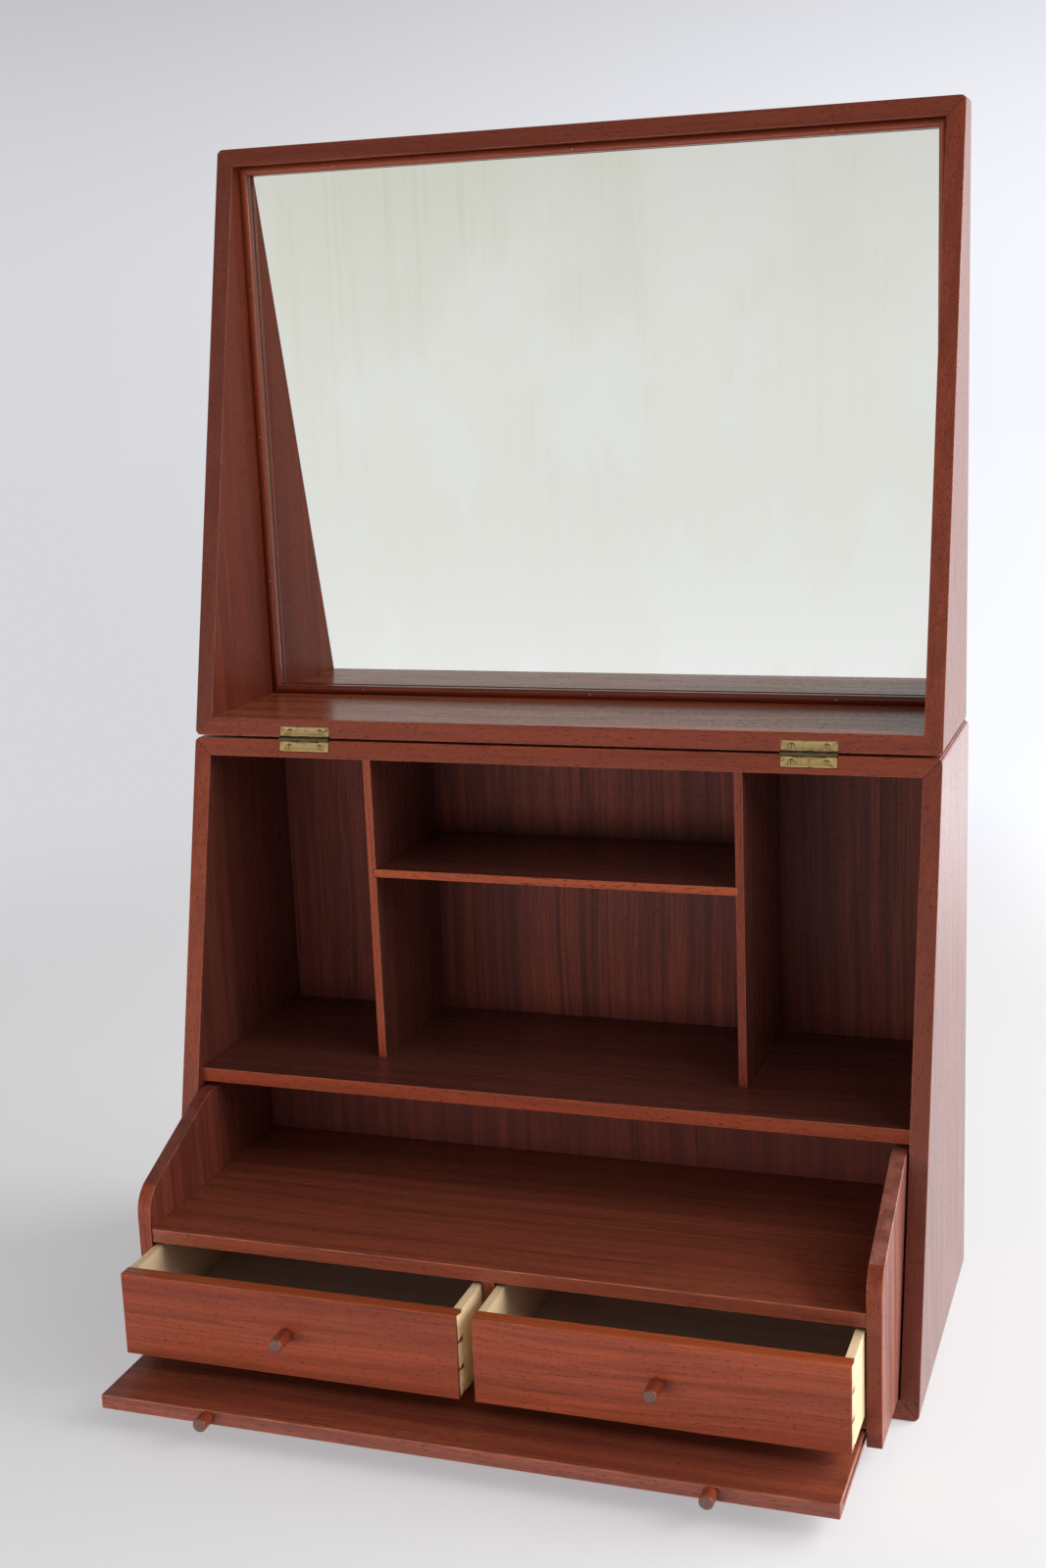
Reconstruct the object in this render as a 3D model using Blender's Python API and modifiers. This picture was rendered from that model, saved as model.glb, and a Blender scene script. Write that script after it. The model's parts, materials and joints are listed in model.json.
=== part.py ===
"""Dressing cabinet with a fold-over mirror lid, a drawer unit that slides in and out, and a pull-out slide.

Metres, +Z up. The origin is the middle of the cabinet's underside, and the open front faces -Y. The lid is
open, the drawer unit is forward, and both drawers and the slide are part of the way out.
"""
import bmesh
import bpy
from math import atan, cos, pi, radians, sin, tan
from mathutils import Matrix, Vector

# ---- carcase -------------------------------------------------------------------------------------------
WIDTH = 0.640
CABINET_HEIGHT = 0.494
DEPTH_AT_TOP = 0.163
DEPTH_AT_BOTTOM = 0.280
BOARD = 0.015
CORNER_RADIUS = 0.0045
GAP = 0.0003
REAR_Y = DEPTH_AT_BOTTOM / 2
RIM_SLOPE = (DEPTH_AT_BOTTOM - DEPTH_AT_TOP) / CABINET_HEIGHT
RIM_TILT = atan(RIM_SLOPE)
INNER_X = WIDTH / 2 - BOARD

BACK_PANEL = 0.006
BACK_PANEL_INSET = 0.016
GROOVE = 0.005
SHELF = 0.012
SHELF_TOP = 0.214
SHELF_SETBACK = 0.006
HOUSING = 0.004
DIVIDER = 0.007
DIVIDER_X = 0.160
DIVIDER_FRONT_Y = -0.024
DIVIDER_HOUSING = 0.003
SMALL_SHELF_TOP = 0.3835
SMALL_SHELF_HOUSING = 0.002

# ---- lid -----------------------------------------------------------------------------------------------
LID_GAP = 0.002
LID_HEIGHT = CABINET_HEIGHT
LID_REAR_Y = REAR_Y - 0.016
LID_PANEL = 0.008
LID_REBATE = 0.006
MIRROR = 0.005
MIRROR_SIDE_GAP = 0.0008
BEAD_WIDTH = 0.007
BEAD_DEPTH = 0.008
BEAD_RADIUS = 0.0025

# ---- butt hinges ---------------------------------------------------------------------------------------
HINGE_X = 0.2165
HINGE_LENGTH = 0.045
LEAF_WIDTH = 0.0085
LEAF = 0.0013
BARREL_RADIUS = 0.0021
PIN_RADIUS = 0.0009
AXIS_STANDOFF = 0.001
KNUCKLES = 5
SCREW_X = 0.014
SCREW_HEAD_RADIUS = 0.0024
SCREW_SHANK_RADIUS = 0.0012
SCREW_LENGTH = 0.010
SCREW_SLOT = 0.0006
SCREW_SLOT_DEPTH = 0.0007
SCREW_JOIN = 0.0002

# ---- drawer unit ---------------------------------------------------------------------------------------
UNIT_OUT = 0.0935
UNIT_CLOSED_Y = 0.1175
UNIT_HALF_WIDTH = 0.3035
UNIT_SIDE = 0.012
UNIT_FRONT_Y = -UNIT_CLOSED_Y - UNIT_OUT
UNIT_REAR_Y = UNIT_CLOSED_Y - UNIT_OUT
UNIT_TOP = 0.198
UNIT_SLOPE = radians(22.9)
UNIT_SHOULDER = 0.1504
UNIT_NOSE_RADIUS = 0.026
UNIT_BACK = 0.006
UNIT_BACK_DROP = 0.001
NOSE_STEPS = 8
TRAY_TOP = 0.122
TRAY = 0.0115
TRAY_SETBACK = 0.0005
PARTITION = 0.010
DUST_PANEL_TOP = 0.040
DUST_PANEL = 0.011
DUST_PANEL_SETBACK = 0.0015
UNIT_INNER_X = UNIT_HALF_WIDTH - UNIT_SIDE

# ---- drawers -------------------------------------------------------------------------------------------
DRAWER_OUT = 0.0545
DRAWER_LENGTH = 0.215
DRAWER_INNER_X = 0.0063
DRAWER_OUTER_X = 0.2904
DRAWER_BASE = 0.0403
DRAWER_TOP = 0.1087
DRAWER_FRONT = 0.013
DRAWER_LAP = 0.0035
DRAWER_SIDE = 0.007
DRAWER_SIDE_DROP = 0.0008
DRAWER_BACK_DROP = 0.006
DRAWER_FLOOR = 0.004
DRAWER_FLOOR_Z = 0.0458
FLOOR_GROOVE = 0.003
TAILS = 3
PIN_TIP = 0.0018
TAIL_SPLAY = 0.0016

# ---- knobs ---------------------------------------------------------------------------------------------
KNOB_RADIUS = 0.0056
KNOB_LENGTH = 0.020
SLIDE_KNOB_LENGTH = 0.014
KNOB_DOME = 0.0012
TENON_RADIUS = 0.003
TENON = 0.008
DRAWER_KNOB_Z = 0.075

# ---- pull-out slide ------------------------------------------------------------------------------------
SLIDE_OUT = 0.0982
SLIDE_LENGTH = 0.205
SLIDE_HALF_WIDTH = 0.2901
SLIDE_BASE = 0.0156
SLIDE = 0.0118
SLIDE_GROOVE = 0.0046
SLIDE_GROOVE_DEPTH = 0.0055
SLIDE_GROOVE_STOP = 0.010
RUNNER = 0.0036
RUNNER_SETBACK = 0.011
RUNNER_REACH = 0.0048
RUNNER_LET_IN = 0.002
SLIDE_KNOB_X = 0.198

# How far a cutter runs past the face that it cuts, how far a blank runs past the plane that trims it, and
# how close two coordinates count as one.
OVERCUT = 0.001
BLANK_SPARE = 0.050
SAME = 0.000001

for old_object in list(bpy.data.objects):
    bpy.data.objects.remove(old_object, do_unlink=True)
PARTS = bpy.data.collections.new("vanity_table_with_mirror")
CUTTERS = bpy.data.collections.new("cutters")
bpy.context.scene.collection.children.link(PARTS)
bpy.context.scene.collection.children.link(CUTTERS)

TEAK = ((0.235, 0.075, 0.038), 0.42, 0.0)
TEAK_PANEL = ((0.200, 0.060, 0.030), 0.45, 0.0)
BEECH = ((0.700, 0.520, 0.290), 0.50, 0.0)
BRASS = ((0.560, 0.400, 0.140), 0.35, 1.0)
SILVERED_GLASS = ((0.780, 0.800, 0.760), 0.03, 1.0)


# ---- helpers -------------------------------------------------------------------------------------------
def rim_y(z):
    """Y of the slanted front plane, which the cabinet's rim and the open lid's rim share."""
    return -REAR_Y + RIM_SLOPE * z


def principled(name, look):
    colour, roughness, metallic = look
    material = bpy.data.materials.new(name)
    material.use_nodes = True
    shader = material.node_tree.nodes["Principled BSDF"]
    shader.inputs["Base Color"].default_value = (*colour, 1.0)
    shader.inputs["Roughness"].default_value = roughness
    shader.inputs["Metallic"].default_value = metallic
    return material


def empty(name, location, parent=None):
    """An empty that carries the pieces of one moving body."""
    pivot = bpy.data.objects.new(name, None)
    pivot.empty_display_size = 0.03
    PARTS.objects.link(pivot)
    pivot.location = location
    if parent:
        pivot.parent = parent
        pivot.location = Vector(location) - parent.matrix_world.translation
    bpy.context.view_layer.update()
    return pivot


def piece(name, bm, look=None, parent=None):
    """Object from a bmesh, its origin in the middle of its bounds. Without a look it is a cutter."""
    corners = [vertex.co for vertex in bm.verts]
    low = Vector([min(co[axis] for co in corners) for axis in range(3)])
    high = Vector([max(co[axis] for co in corners) for axis in range(3)])
    middle = (low + high) / 2
    bmesh.ops.translate(bm, verts=bm.verts, vec=-middle)
    bmesh.ops.recalc_face_normals(bm, faces=bm.faces)
    mesh = bpy.data.meshes.new(name)
    bm.to_mesh(mesh)
    bm.free()
    made = bpy.data.objects.new(name, mesh)
    made.location = middle
    if look:
        PARTS.objects.link(made)
        mesh.materials.append(principled(name, look))
        mesh.shade_smooth()
        mesh.set_sharp_from_angle(angle=radians(30))
    else:
        CUTTERS.objects.link(made)
        made.hide_render = True
        made.display_type = "WIRE"
    if parent:
        made.parent = parent
        made.location = middle - parent.matrix_world.translation
    return made


def block(x, y, z):
    """Closed box between two limits on each axis."""
    bm = bmesh.new()
    bmesh.ops.create_cube(bm, size=1.0)
    size = (x[1] - x[0], y[1] - y[0], z[1] - z[0])
    bmesh.ops.scale(bm, verts=bm.verts, vec=size)
    bmesh.ops.translate(bm, verts=bm.verts, vec=((x[0] + x[1]) / 2, (y[0] + y[1]) / 2, (z[0] + z[1]) / 2))
    return bm


def grown(x, y, z, by=GAP):
    """The same box with a clearance all round, for the housing that it sits in."""
    return block((x[0] - by, x[1] + by), (y[0] - by, y[1] + by), (z[0] - by, z[1] + by))


def rod(radius, start, end, segments=24, end_radius=None):
    """Round bar or cone frustum from one point to another."""
    bm = bmesh.new()
    run = Vector(end) - Vector(start)
    tip = radius if end_radius is None else end_radius
    bmesh.ops.create_cone(bm, cap_ends=True, segments=segments, radius1=radius, radius2=tip, depth=run.length)
    turn = Vector((0, 0, 1)).rotation_difference(run).to_matrix().to_4x4()
    middle = (Vector(start) + Vector(end)) / 2
    bmesh.ops.transform(bm, matrix=Matrix.Translation(middle) @ turn, verts=bm.verts)
    return bm


def saw(bm, point, normal):
    """Cut a closed convex solid at a plane, drop the side that the normal points to and cap the cut."""
    everything = bm.verts[:] + bm.edges[:] + bm.faces[:]
    cut = bmesh.ops.bisect_plane(bm, geom=everything, plane_co=point, plane_no=normal, clear_outer=True)
    edges = [item for item in cut["geom_cut"] if isinstance(item, bmesh.types.BMEdge)]
    bmesh.ops.edgeloop_fill(bm, edges=edges)
    return bm


def soften(bm, chooser, radius, segments):
    """Round the edges that a test on their middle and direction picks."""
    edges = []
    for edge in bm.edges:
        start, end = edge.verts[0].co, edge.verts[1].co
        if chooser((start + end) / 2, (end - start).normalized()):
            edges.append(edge)
    bmesh.ops.bevel(bm, geom=edges, offset=radius, offset_type="OFFSET", segments=segments,
                    profile=0.5, affect="EDGES", material=-1)
    return bm


def outline(name, points, x):
    """Flat outline in the YZ plane as a filled curve, made a closed mesh between two X limits."""
    curve = bpy.data.curves.new(name, "CURVE")
    curve.dimensions = "2D"
    curve.fill_mode = "BOTH"
    curve.extrude = (x[1] - x[0]) / 2
    spline = curve.splines.new("POLY")
    spline.points.add(len(points) - 1)
    for point, (y, z) in zip(spline.points, points):
        point.co = (y, z, 0.0, 1.0)
    spline.use_cyclic_u = True
    holder = bpy.data.objects.new(name, curve)
    CUTTERS.objects.link(holder)
    bpy.context.view_layer.update()
    mesh = bpy.data.meshes.new_from_object(holder.evaluated_get(bpy.context.evaluated_depsgraph_get()))
    bpy.data.objects.remove(holder, do_unlink=True)
    bm = bmesh.new()
    bm.from_mesh(mesh)
    bmesh.ops.remove_doubles(bm, verts=bm.verts, dist=0.00001)
    upright = Matrix(((0, 0, 1, (x[0] + x[1]) / 2), (1, 0, 0, 0), (0, 1, 0, 0), (0, 0, 0, 1)))
    bmesh.ops.transform(bm, matrix=upright, verts=bm.verts)
    return bm


def boolean(host, tool, operation="DIFFERENCE"):
    modifier = host.modifiers.new(tool.name, "BOOLEAN")
    modifier.operation = operation
    modifier.solver = "EXACT"
    modifier.object = tool


def house(name, hosts, x, y, z, parent=None):
    """Cut the housing, groove or rebate for a box-shaped piece into the boards that hold it."""
    tool = piece(name, grown(x, y, z), parent=parent)
    for host in hosts:
        boolean(host, tool)


# ---- carcase boards ------------------------------------------------------------------------------------
def carcase_block(low, high, rear):
    """The box's outer form: rounded long edges and the slanted front."""
    half = WIDTH / 2
    bm = block((-half, half), (rim_y(low) - BLANK_SPARE, rear), (low, high))
    soften(bm, lambda middle, run: abs(run.y) > 0.99, CORNER_RADIUS, 4)
    return saw(bm, (0, rim_y(low), low), (0, -cos(RIM_TILT), sin(RIM_TILT)))


def mitred_box(prefix, low, high, rear, parent=None):
    """Four boards, mitred at the corners: two sides, a top and a bottom."""
    half = WIDTH / 2
    slit = GAP / 2
    boards = {}
    for side, way in (("left", -1), ("right", 1)):
        bm = carcase_block(low, high, rear)
        saw(bm, (way * INNER_X, 0, 0), (-way, 0, 0))
        saw(bm, (way * half, 0, high - slit), (-way, 0, 1))
        saw(bm, (way * half, 0, low + slit), (-way, 0, -1))
        boards[side] = piece(f"{prefix}_side_{side}", bm, TEAK, parent)
    for level, face, way in (("top", high, 1), ("bottom", low, -1)):
        bm = carcase_block(low, high, rear)
        saw(bm, (0, 0, face - way * BOARD), (0, 0, -way))
        for side in (-1, 1):
            saw(bm, (side * half, 0, face + way * slit), (side, 0, -way))
        boards[level] = piece(f"{prefix}_{level}", bm, TEAK, parent)
    return boards


def cabinet_boards():
    boards = mitred_box("cabinet", 0.0, CABINET_HEIGHT, REAR_Y)
    back_x = (-INNER_X - GROOVE, INNER_X + GROOVE)
    back_y = (REAR_Y - BACK_PANEL_INSET - BACK_PANEL, REAR_Y - BACK_PANEL_INSET)
    back_z = (BOARD - GROOVE, CABINET_HEIGHT - BOARD + GROOVE)
    piece("cabinet_back_panel", block(back_x, back_y, back_z), TEAK_PANEL)
    house("back_panel_groove", boards.values(), back_x, back_y, back_z)
    return boards


def shelves(boards):
    """The full-width shelf, two upright dividers and the small shelf between them."""
    sides = (boards["left"], boards["right"])
    rear = REAR_Y - BACK_PANEL_INSET - BACK_PANEL - GAP
    shelf_x = (-INNER_X - HOUSING, INNER_X + HOUSING)
    shelf_y = (rim_y(SHELF_TOP) + SHELF_SETBACK, rear)
    shelf_z = (SHELF_TOP - SHELF, SHELF_TOP)
    shelf = piece("main_shelf", block(shelf_x, shelf_y, shelf_z), TEAK)
    house("main_shelf_housing", sides, shelf_x, shelf_y, shelf_z)
    dividers = []
    for side, way in (("left", -1), ("right", 1)):
        divider_x = (way * DIVIDER_X - DIVIDER / 2, way * DIVIDER_X + DIVIDER / 2)
        divider_y = (DIVIDER_FRONT_Y, rear)
        divider_z = (SHELF_TOP - DIVIDER_HOUSING, CABINET_HEIGHT - BOARD + DIVIDER_HOUSING)
        dividers.append(piece(f"divider_{side}", block(divider_x, divider_y, divider_z), TEAK_PANEL))
        house(f"divider_{side}_housing", (shelf, boards["top"]), divider_x, divider_y, divider_z)
    reach = DIVIDER_X - DIVIDER / 2 + SMALL_SHELF_HOUSING
    small_z = (SMALL_SHELF_TOP - DIVIDER, SMALL_SHELF_TOP)
    piece("small_shelf", block((-reach, reach), (DIVIDER_FRONT_Y, rear), small_z), TEAK)
    house("small_shelf_housing", dividers, (-reach, reach), (DIVIDER_FRONT_Y, rear), small_z)


# ---- lid -----------------------------------------------------------------------------------------------
def lid(pivot):
    """The fold-over lid: a wedge-shaped mitred frame, its panel, the mirror and the beads that hold it."""
    low = CABINET_HEIGHT + LID_GAP
    high = low + LID_HEIGHT
    boards = mitred_box("lid", low, high, LID_REAR_Y, pivot)
    panel_x = (-INNER_X - LID_REBATE, INNER_X + LID_REBATE)
    panel_y = (LID_REAR_Y - LID_PANEL, LID_REAR_Y)
    panel_z = (low + BOARD - LID_REBATE, high - BOARD + LID_REBATE)
    piece("lid_back_panel", block(panel_x, panel_y, panel_z), TEAK_PANEL, pivot)
    house("lid_panel_rebate", boards.values(), panel_x, panel_y, panel_z, pivot)
    mirror_rear = panel_y[0] - GAP
    mirror_front = mirror_rear - MIRROR
    edge_x = INNER_X - MIRROR_SIDE_GAP
    edge_z = (low + BOARD + MIRROR_SIDE_GAP, high - BOARD - MIRROR_SIDE_GAP)
    glass = block((-edge_x, edge_x), (mirror_front, mirror_rear), edge_z)
    piece("mirror_glass", glass, SILVERED_GLASS, pivot)
    mirror_beads(low + BOARD + GAP, high - BOARD - GAP, mirror_front - GAP, pivot)
    return boards


def mirror_beads(low, high, rear, pivot):
    """Four mitred beads in front of the glass, each with its exposed corner rounded."""
    half = INNER_X - GAP
    front = rear - BEAD_DEPTH
    slit = GAP / 2
    for name, way in (("left", -1), ("right", 1)):
        inner = way * (half - BEAD_WIDTH)
        bm = block(sorted((way * half, inner)), (front, rear), (low, high))
        soften(bm, lambda middle, run: abs(run.z) > 0.99 and abs(middle.x - inner) < SAME
               and abs(middle.y - front) < SAME, BEAD_RADIUS, 3)
        saw(bm, (way * half, 0, high - slit), (-way, 0, 1))
        saw(bm, (way * half, 0, low + slit), (-way, 0, -1))
        piece(f"mirror_bead_{name}", bm, TEAK, pivot)
    for name, face, way in (("top", high, 1), ("bottom", low, -1)):
        inner = face - way * BEAD_WIDTH
        bm = block((-half, half), (front, rear), sorted((face, inner)))
        soften(bm, lambda middle, run: abs(run.x) > 0.99 and abs(middle.z - inner) < SAME
               and abs(middle.y - front) < SAME, BEAD_RADIUS, 3)
        for side in (-1, 1):
            saw(bm, (side * half, 0, face + way * slit), (side, 0, -way))
        piece(f"mirror_bead_{name}", bm, TEAK, pivot)


# ---- hinges --------------------------------------------------------------------------------------------
def hinge(side, way, host, pivot, lid_host, lid_pivot):
    """One brass butt hinge, let in flush with both rims: two leaves, a pin and four countersunk screws.

    Built with its pin along X at the origin, the lid's leaf up +Z and the rims facing -Y, then tilted.
    """
    place = Matrix.Translation((way * HINGE_X, *pivot[1:])) @ Matrix.Rotation(-RIM_TILT, 4, "X")

    def placed(bm):
        bmesh.ops.transform(bm, matrix=place, verts=bm.verts)
        return bm

    half = HINGE_LENGTH / 2
    step = HINGE_LENGTH / KNUCKLES
    reach = BARREL_RADIUS + LEAF_WIDTH
    root = BARREL_RADIUS + GAP
    face = AXIS_STANDOFF
    for level, up, board, owner in (("lower", -1, host, None), ("upper", 1, lid_host, lid_pivot)):
        name = f"hinge_leaf_{level}_{side}"
        plate = block((-half, half), (face, face + LEAF), sorted((up * root, up * reach)))
        leaf = piece(name, placed(plate), BRASS, owner)
        for index in range(0 if up < 0 else 1, KNUCKLES, 2):
            start = -half + index * step + (GAP / 2 if index else 0)
            end = -half + (index + 1) * step - (GAP / 2 if index < KNUCKLES - 1 else 0)
            neck = block((start, end), (face, face + LEAF), sorted((0, up * (root + OVERCUT))))
            boolean(leaf, piece(f"{name}_neck_{index}", placed(neck), parent=owner), "UNION")
            barrel = rod(BARREL_RADIUS, (start, 0, 0), (end, 0, 0), 20)
            boolean(leaf, piece(f"{name}_knuckle_{index}", placed(barrel), parent=owner), "UNION")
        bore = rod(PIN_RADIUS + GAP, (-half - GAP, 0, 0), (half + GAP, 0, 0), 16)
        boolean(leaf, piece(f"{name}_bore", placed(bore), parent=owner))
        recess_y = (face - BARREL_RADIUS - OVERCUT, face + LEAF + GAP)
        recess = block((-half - GAP, half + GAP), recess_y, sorted((0, up * (reach + GAP))))
        boolean(board, piece(f"{name}_recess", placed(recess), parent=owner))
        trough = rod(BARREL_RADIUS + 2 * GAP, (-half - GAP, 0, 0), (half + GAP, 0, 0), 20)
        boolean(board, piece(f"{name}_trough", placed(trough), parent=owner))
        for number, offset in ((1, -SCREW_X), (2, SCREW_X)):
            hinge_screw(f"hinge_screw_{level}_{side}_{number}", offset, up, leaf, board, owner, placed)
    pin = rod(PIN_RADIUS, (-half - GAP, 0, 0), (half + GAP, 0, 0), 16)
    piece(f"hinge_pin_{side}", placed(pin), BRASS)


def hinge_screw(name, x, up, leaf, board, owner, placed):
    """Countersunk screw with a slotted head, and the holes that it needs in the leaf and the board."""
    z = up * (BARREL_RADIUS + LEAF_WIDTH / 2)
    face = AXIS_STANDOFF
    throat = face + SCREW_HEAD_RADIUS - SCREW_SHANK_RADIUS
    end = face + SCREW_LENGTH
    screw = piece(name, placed(rod(SCREW_HEAD_RADIUS, (x, face, z), (x, throat, z), 20, SCREW_SHANK_RADIUS)),
                  BRASS, owner)
    shank = rod(SCREW_SHANK_RADIUS, (x, throat - SCREW_JOIN, z), (x, end, z), 20)
    boolean(screw, piece(f"{name}_shank", placed(shank), parent=owner), "UNION")
    slot_z = (z - SCREW_HEAD_RADIUS - OVERCUT, z + SCREW_HEAD_RADIUS + OVERCUT)
    slot = block((x - SCREW_SLOT / 2, x + SCREW_SLOT / 2), (face - OVERCUT, face + SCREW_SLOT_DEPTH), slot_z)
    boolean(screw, piece(f"{name}_slot", placed(slot), parent=owner))
    wide = SCREW_HEAD_RADIUS + GAP + OVERCUT
    sink = rod(wide, (x, face - OVERCUT, z), (x, throat, z), 20, SCREW_SHANK_RADIUS + GAP)
    bore = rod(SCREW_SHANK_RADIUS + GAP, (x, face - OVERCUT, z), (x, end + GAP, z), 20)
    sink_tool = piece(f"{name}_sink", placed(sink), parent=owner)
    bore_tool = piece(f"{name}_hole", placed(bore), parent=owner)
    for host in (leaf, board):
        boolean(host, sink_tool)
        boolean(host, bore_tool)


# ---- drawer unit ---------------------------------------------------------------------------------------
def unit_side_outline():
    """Upright nose, a rounded shoulder, a straight slope and a level top, as (y, z) points."""
    foot = BOARD + GAP
    bend = pi / 2 - UNIT_SLOPE
    tangent = UNIT_NOSE_RADIUS * tan(bend / 2)
    centre = (UNIT_FRONT_Y + UNIT_NOSE_RADIUS, UNIT_SHOULDER - tangent)
    points = [(UNIT_REAR_Y, foot), (UNIT_FRONT_Y, foot)]
    for index in range(NOSE_STEPS + 1):
        angle = pi - bend * index / NOSE_STEPS
        points.append((centre[0] + UNIT_NOSE_RADIUS * cos(angle), centre[1] + UNIT_NOSE_RADIUS * sin(angle)))
    top_start = UNIT_FRONT_Y + (UNIT_TOP - UNIT_SHOULDER) / tan(UNIT_SLOPE)
    points.append((top_start, UNIT_TOP))
    points.append((UNIT_REAR_Y, UNIT_TOP))
    return points


def drawer_unit(pivot):
    """Two shaped sides that hold a tray, a back, a partition and a dust panel, and the slide's runners."""
    sides = []
    for side, way in (("left", -1), ("right", 1)):
        span = sorted((way * UNIT_INNER_X, way * UNIT_HALF_WIDTH))
        bm = outline(f"unit_side_{side}", unit_side_outline(), span)
        sides.append(piece(f"unit_side_{side}", bm, TEAK, pivot))
    across = (-UNIT_INNER_X - HOUSING, UNIT_INNER_X + HOUSING)
    back_y = (UNIT_REAR_Y - UNIT_BACK, UNIT_REAR_Y)
    back_z = (DUST_PANEL_TOP - DUST_PANEL, UNIT_TOP - UNIT_BACK_DROP)
    piece("unit_back_panel", block(across, back_y, back_z), TEAK_PANEL, pivot)
    house("unit_back_rebate", sides, across, back_y, back_z, pivot)
    rear = back_y[0] - GAP
    tray_y = (UNIT_FRONT_Y + TRAY_SETBACK, rear)
    tray_z = (TRAY_TOP - TRAY, TRAY_TOP)
    tray = piece("unit_tray", block(across, tray_y, tray_z), TEAK, pivot)
    house("unit_tray_housing", sides, across, tray_y, tray_z, pivot)
    dust_y = (UNIT_FRONT_Y + DUST_PANEL_SETBACK, rear)
    dust_z = (DUST_PANEL_TOP - DUST_PANEL, DUST_PANEL_TOP)
    dust = piece("unit_dust_panel", block(across, dust_y, dust_z), TEAK_PANEL, pivot)
    house("unit_dust_housing", sides, across, dust_y, dust_z, pivot)
    partition_x = (-PARTITION / 2, PARTITION / 2)
    partition_z = (DUST_PANEL_TOP - DIVIDER_HOUSING, TRAY_TOP - TRAY + DIVIDER_HOUSING)
    piece("unit_partition", block(partition_x, dust_y, partition_z), TEAK, pivot)
    house("unit_partition_housing", (tray, dust), partition_x, dust_y, partition_z, pivot)
    middle = SLIDE_BASE + SLIDE / 2
    for host, side, way in zip(sides, ("left", "right"), (-1, 1)):
        runner_x = sorted((way * (UNIT_INNER_X - RUNNER_REACH), way * (UNIT_INNER_X + RUNNER_LET_IN)))
        runner_y = (UNIT_FRONT_Y + RUNNER_SETBACK, rear)
        runner_z = (middle - RUNNER / 2, middle + RUNNER / 2)
        piece(f"slide_runner_{side}", block(runner_x, runner_y, runner_z), BEECH, pivot)
        house(f"slide_runner_{side}_groove", (host,), runner_x, runner_y, runner_z, pivot)


# ---- drawers -------------------------------------------------------------------------------------------
def tail_levels():
    """Low and high Z of each dovetail's tip, evenly spaced over the drawer side's height."""
    low = DRAWER_BASE
    pitch = (DRAWER_TOP - DRAWER_SIDE_DROP - low) / TAILS
    half_pin = PIN_TIP / 2
    return [(low + pitch * index + half_pin, low + pitch * (index + 1) - half_pin) for index in range(TAILS)]


def drawer_side_outline(front, rear):
    """Drawer side as (y, z) points: dovetails at the front end, square at the rear."""
    tip = front + DRAWER_LAP
    root = front + DRAWER_FRONT
    top = DRAWER_TOP - DRAWER_SIDE_DROP
    points = [(rear, top), (rear, DRAWER_BASE), (root, DRAWER_BASE)]
    for low, high in tail_levels():
        points += [(root, low + TAIL_SPLAY), (tip, low), (tip, high), (root, high - TAIL_SPLAY)]
    points.append((root, top))
    return points


def drawer(side, way, pivot):
    """One dovetailed drawer: teak front and knob, beech sides, back and floor."""
    front = UNIT_FRONT_Y - DRAWER_OUT
    rear = front + DRAWER_LENGTH
    x = sorted((way * DRAWER_INNER_X, way * DRAWER_OUTER_X))
    name = f"drawer_{side}"
    face_y = (front, front + DRAWER_FRONT)
    face = piece(f"{name}_front", block(x, face_y, (DRAWER_BASE, DRAWER_TOP)), TEAK, pivot)
    holders = [face]
    for end, outer, turn in (("a", x[0], 1), ("b", x[1], -1)):
        span = sorted((outer, outer + turn * DRAWER_SIDE))
        bm = outline(f"{name}_side_{end}", drawer_side_outline(front, rear), span)
        holders.append(piece(f"{name}_side_{end}", bm, BEECH, pivot))
        socket_x = sorted((outer - turn * OVERCUT, outer + turn * (DRAWER_SIDE + GAP)))
        for index, (low, high) in enumerate(tail_levels()):
            tip = front + DRAWER_LAP - GAP
            root = front + DRAWER_FRONT
            back = root + OVERCUT
            narrow = TAIL_SPLAY * (back - tip) / (root - tip)
            points = [(tip, low - GAP), (tip, high + GAP)]
            points += [(back, high + GAP - narrow), (back, low - GAP + narrow)]
            socket = outline(f"{name}_socket_{end}_{index}", points, socket_x)
            boolean(face, piece(f"{name}_socket_{end}_{index}", socket, parent=pivot))
    inner = (x[0] + DRAWER_SIDE, x[1] - DRAWER_SIDE)
    floor_x = (inner[0] - FLOOR_GROOVE, inner[1] + FLOOR_GROOVE)
    floor_y = (front + DRAWER_FRONT - FLOOR_GROOVE, rear)
    floor_z = (DRAWER_FLOOR_Z, DRAWER_FLOOR_Z + DRAWER_FLOOR)
    piece(f"{name}_floor", block(floor_x, floor_y, floor_z), BEECH, pivot)
    house(f"{name}_floor_groove", holders, floor_x, floor_y, floor_z, pivot)
    back_x = (inner[0] - FLOOR_GROOVE, inner[1] + FLOOR_GROOVE)
    back_y = (rear - 2 * DRAWER_SIDE, rear - DRAWER_SIDE)
    back_z = (floor_z[1] + GAP, DRAWER_TOP - DRAWER_BACK_DROP)
    piece(f"{name}_back", block(back_x, back_y, back_z), BEECH, pivot)
    house(f"{name}_back_housing", holders[1:], back_x, back_y, back_z, pivot)
    knob(f"{name}_knob", (x[0] + x[1]) / 2, front, DRAWER_KNOB_Z, KNOB_LENGTH, face, pivot)


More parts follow.
